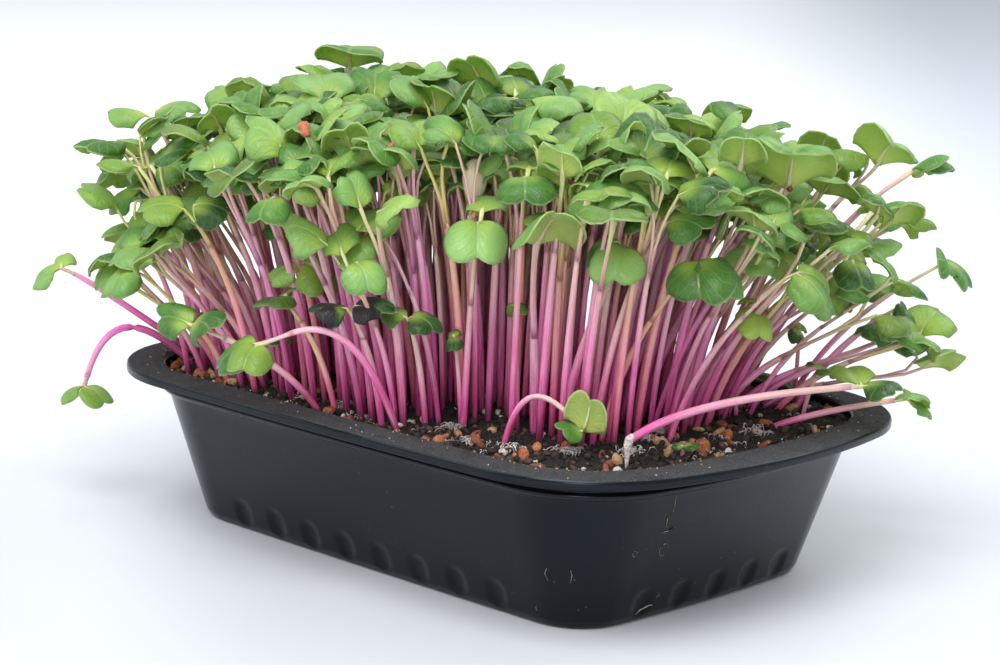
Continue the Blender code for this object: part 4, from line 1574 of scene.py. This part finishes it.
heroes = [in_sight(point * MM) for point in CURLED_TOP]
heroes += [in_sight(named_leaves[name][0].frame_at(share)[0])
           for name in HEROES for share in HERO_SHARES]
in_view = heroes + [in_sight(leaf.frame_at(0.5)[0])
                    for plan in SEEDLINGS for leaf in named_leaves[plan[0]]]
blocks = {}
grown_count = 0
for root in roots:
    best = None
    for attempt in range(CROWD_TRIES):
        fork, stalk, leaves = crowd_plant(root, rng)
        blades = [blade_guess(fork, stalk, leaf) for leaf in leaves]
        room = min((blade - other).length for blade in blades for other in blade_places)
        room -= sum(hidden_behind(blade, in_view, SIGHT_REACH) for blade in blades) * HIDING_COST
        if best is None or room > best[0]:
            best = (room, fork, stalk, leaves, blades)
    room, fork, stalk, leaves, blades = best
    if any(hidden_behind(blade, heroes, HERO_REACH) for blade in blades):
        continue
    grown_count += 1
    blade_places += blades
    foot, turning, fork = stem_course((root.x / MM, root.y / MM), (), fork / MM)
    column = int((root.x / STRAIGHT_LENGTH + 0.5) * CROWD_COLUMNS)
    row = int((root.y / STRAIGHT_WIDTH + 0.5) * CROWD_ROWS)
    plant = start_mesh()
    add_seedling(plant, foot, turning, fork, stalk, leaves, COARSE, {}, rng)
    if (row, column) not in blocks:
        blocks[row, column] = start_mesh()
    pour(plant, blocks[row, column])
for (row, column), bm in sorted(blocks.items()):
    add_piece(f"crowd_{row}_{column}", bm, plant_finishes)
print(grown_count, "plants in the crowd, in", len(blocks), "pieces")

# %% [markdown]
# ## Late sprouts, a curled leaf and husks
#
# A tray is never even. A few seeds sprouted late and are still small and low, one pale
# leaf is still rolled up in a finger, one white root stands bare under the lying stem,
# and here and there a brown seed husk has been lifted up on a leaf. They are made with
# the same helpers, only smaller. To find the leaf under a husk, a ray is sent from the
# viewer's place, and the husk is set where the ray first meets the plants.

# %% Late sprouts
SPROUTS = (
    # root, fork, stalk length, leaves
    ((60, 30), (61, 28, 47), 1.5, ("raised", 330, 6.0), ("wing", 120, 4.5)),
    ((80, -17), (81, -18, 45), 1.0, ("wing", 20, 5.5), ("wing", 215, 4.5)),
    ((40, 24), (39, 23, 60), 2.5, ("hang", 330, 7.5), ("wing", 170, 7.0)),
    ((60, 56), (61, 55, 61), 2.5, ("hang", 300, 7.0), ("raised", 120, 6.5)),
    ((59, 48), (60, 47, 49), 2.0, ("wing", 10, 7.5), ("wing", 200, 6.5)),
    ((24, -40), (23, -42, 65), 2.0, ("hang", 300, 6.5), ("raised", 150, 6.0)),
    ((36, -31), (35, -33, 74), 2.0, ("wing", 330, 7.0), ("wing", 120, 6.0)),
    ((-30, -52), (-32, -54, 56), 2.0, ("wing", 290, 7.5), ("wing", 100, 6.5)),
    ((-62, -48), (-65, -50, 58), 2.5, ("hang", 260, 8.0), ("wing", 60, 7.0)),
    ((76, 38), (80, 38, 56), 2.5, ("wing", 350, 8.0), ("raised", 150, 7.0)),
    ((-78, 30), (-82, 32, 55), 2.5, ("wing", 170, 8.0), ("wing", 350, 7.0)),
    ((10, 55), (10, 59, 58), 2.5, ("hang", 90, 8.0), ("wing", 260, 7.0)),
)
SPROUT_LOOK = {"girth": 0.62, "leaf_shade": 0.15, "pale": 0.5}

rng = random.Random(PLANT_SEED + 2)
bm = start_mesh()
for root, fork_place, stalk, *leaves in SPROUTS:
    foot, turning, fork = stem_course(root, (), fork_place)
    sprout = start_mesh()
    sized = [(hold, facing, width * MM) for hold, facing, width in leaves]
    add_seedling(sprout, foot, turning, fork, stalk * MM, sized, COARSE, SPROUT_LOOK, rng)
    pour(sprout, bm)
add_piece("late_sprouts", bm, plant_finishes)
print(len(SPROUTS), "late sprouts")

# %% Curled leaf and bare root
CURLED_FOOT = Vector((20, -34, 0))
CURLED_LEAN = Vector((0.05, -0.05, 1)).normalized()
CURLED_LEAF = (
    # height and half width up the rolled leaf
    (98, 0.9), (100, 1.0), (100.6, 1.35), (101.2, 1.35), (101.6, 1.15), (103.2, 2.0), (105.4, 2.9),
    (108, 3.3), (110.5, 3.1), (112.3, 2.2), (113.1, 1.0), (113.3, 0.3),
)
CURLED_FLATNESS = 0.85
ROOT_TONE = (0.78, 0.70, 0.68)
WHITE_FOOT = (
    # point and half width up the bare root
    ((79.3, -37.8, 42.2), 0.25), ((79.2, -37.6, 44.0), 0.5), ((79.1, -37.4, 46.5), 0.8),
    ((79.0, -37.2, 48.6), 1.15), ((79.1, -36.7, 50.2), 1.15), ((79.3, -36.0, 51.0), 0.6),
)

bm = start_mesh()
foot = CURLED_FOOT * MM
foot.z = soil_height(foot.x, foot.y) - ROOT_DEPTH
stations = [(foot, UP, heading(45), 0.9 * MM, 0.9 * MM, 0.0)]
for height, half in CURLED_LEAF:
    centre = foot + CURLED_LEAN * (height * MM - foot.z)
    age = 0.3 if height == CURLED_LEAF[0][0] else 1.0
    stations.append((centre, CURLED_LEAN, heading(45), half * MM, half * CURLED_FLATNESS * MM, age))
add_rod(bm, stations, 12, (0.5, 1.0, 0.0))
add_piece("curled_leaf", bm, plant_finishes)

bm = start_mesh()
stations = []
for point, half in WHITE_FOOT:
    stations.append((Vector(point) * MM, UP, heading(45), half * MM, half * 0.9 * MM, 0))
add_rod(bm, stations, 9, ROOT_TONE)
add_piece("bare_root", bm, [bits])
print("curled leaf", CURLED_LEAF[-1][0], "mm high, bare root", WHITE_FOOT[-1][0][2], "mm high")

# %% Seed husks
HUSK_TONES = ((0.60, 0.18, 0.09), (0.26, 0.09, 0.05), (0.72, 0.46, 0.14), (0.80, 0.68, 0.60))
HUSKS = (
    # right and up of the line of sight per metre of distance, radius, tone
    (-0.0764, 0.0796, 1.7, 0), (-0.0425, 0.0725, 1.0, 0), (-0.0100, 0.0465, 1.4, 2),
    (0.0280, 0.0590, 0.9, 1), (-0.0060, -0.0080, 1.2, 2), (0.1385, 0.0725, 1.1, 1),
    (-0.0437, 0.0164, 0.8, 3), (0.1104, -0.0214, 1.2, 2), (0.1130, 0.0560, 0.9, 1),
)
HUSK_SINK = 0.2

bm = start_mesh()
bpy.context.view_layer.update()
depsgraph = bpy.context.evaluated_depsgraph_get()
for across, up, radius, tone in HUSKS:
    aim = (axes[0] * across + axes[1] * up - back).normalized()
    met, place, *rest = bpy.context.scene.ray_cast(depsgraph, stand.translation, aim)
    if met and place.z > tray_high.z:
        place -= aim * radius * HUSK_SINK * MM
        add_bit(bm, place, radius * MM, 2, 0.6, 0.5, HUSK_TONES[tone], rng)
add_piece("seed_husks", bm, [bits])
print(len(HUSKS), "husks")
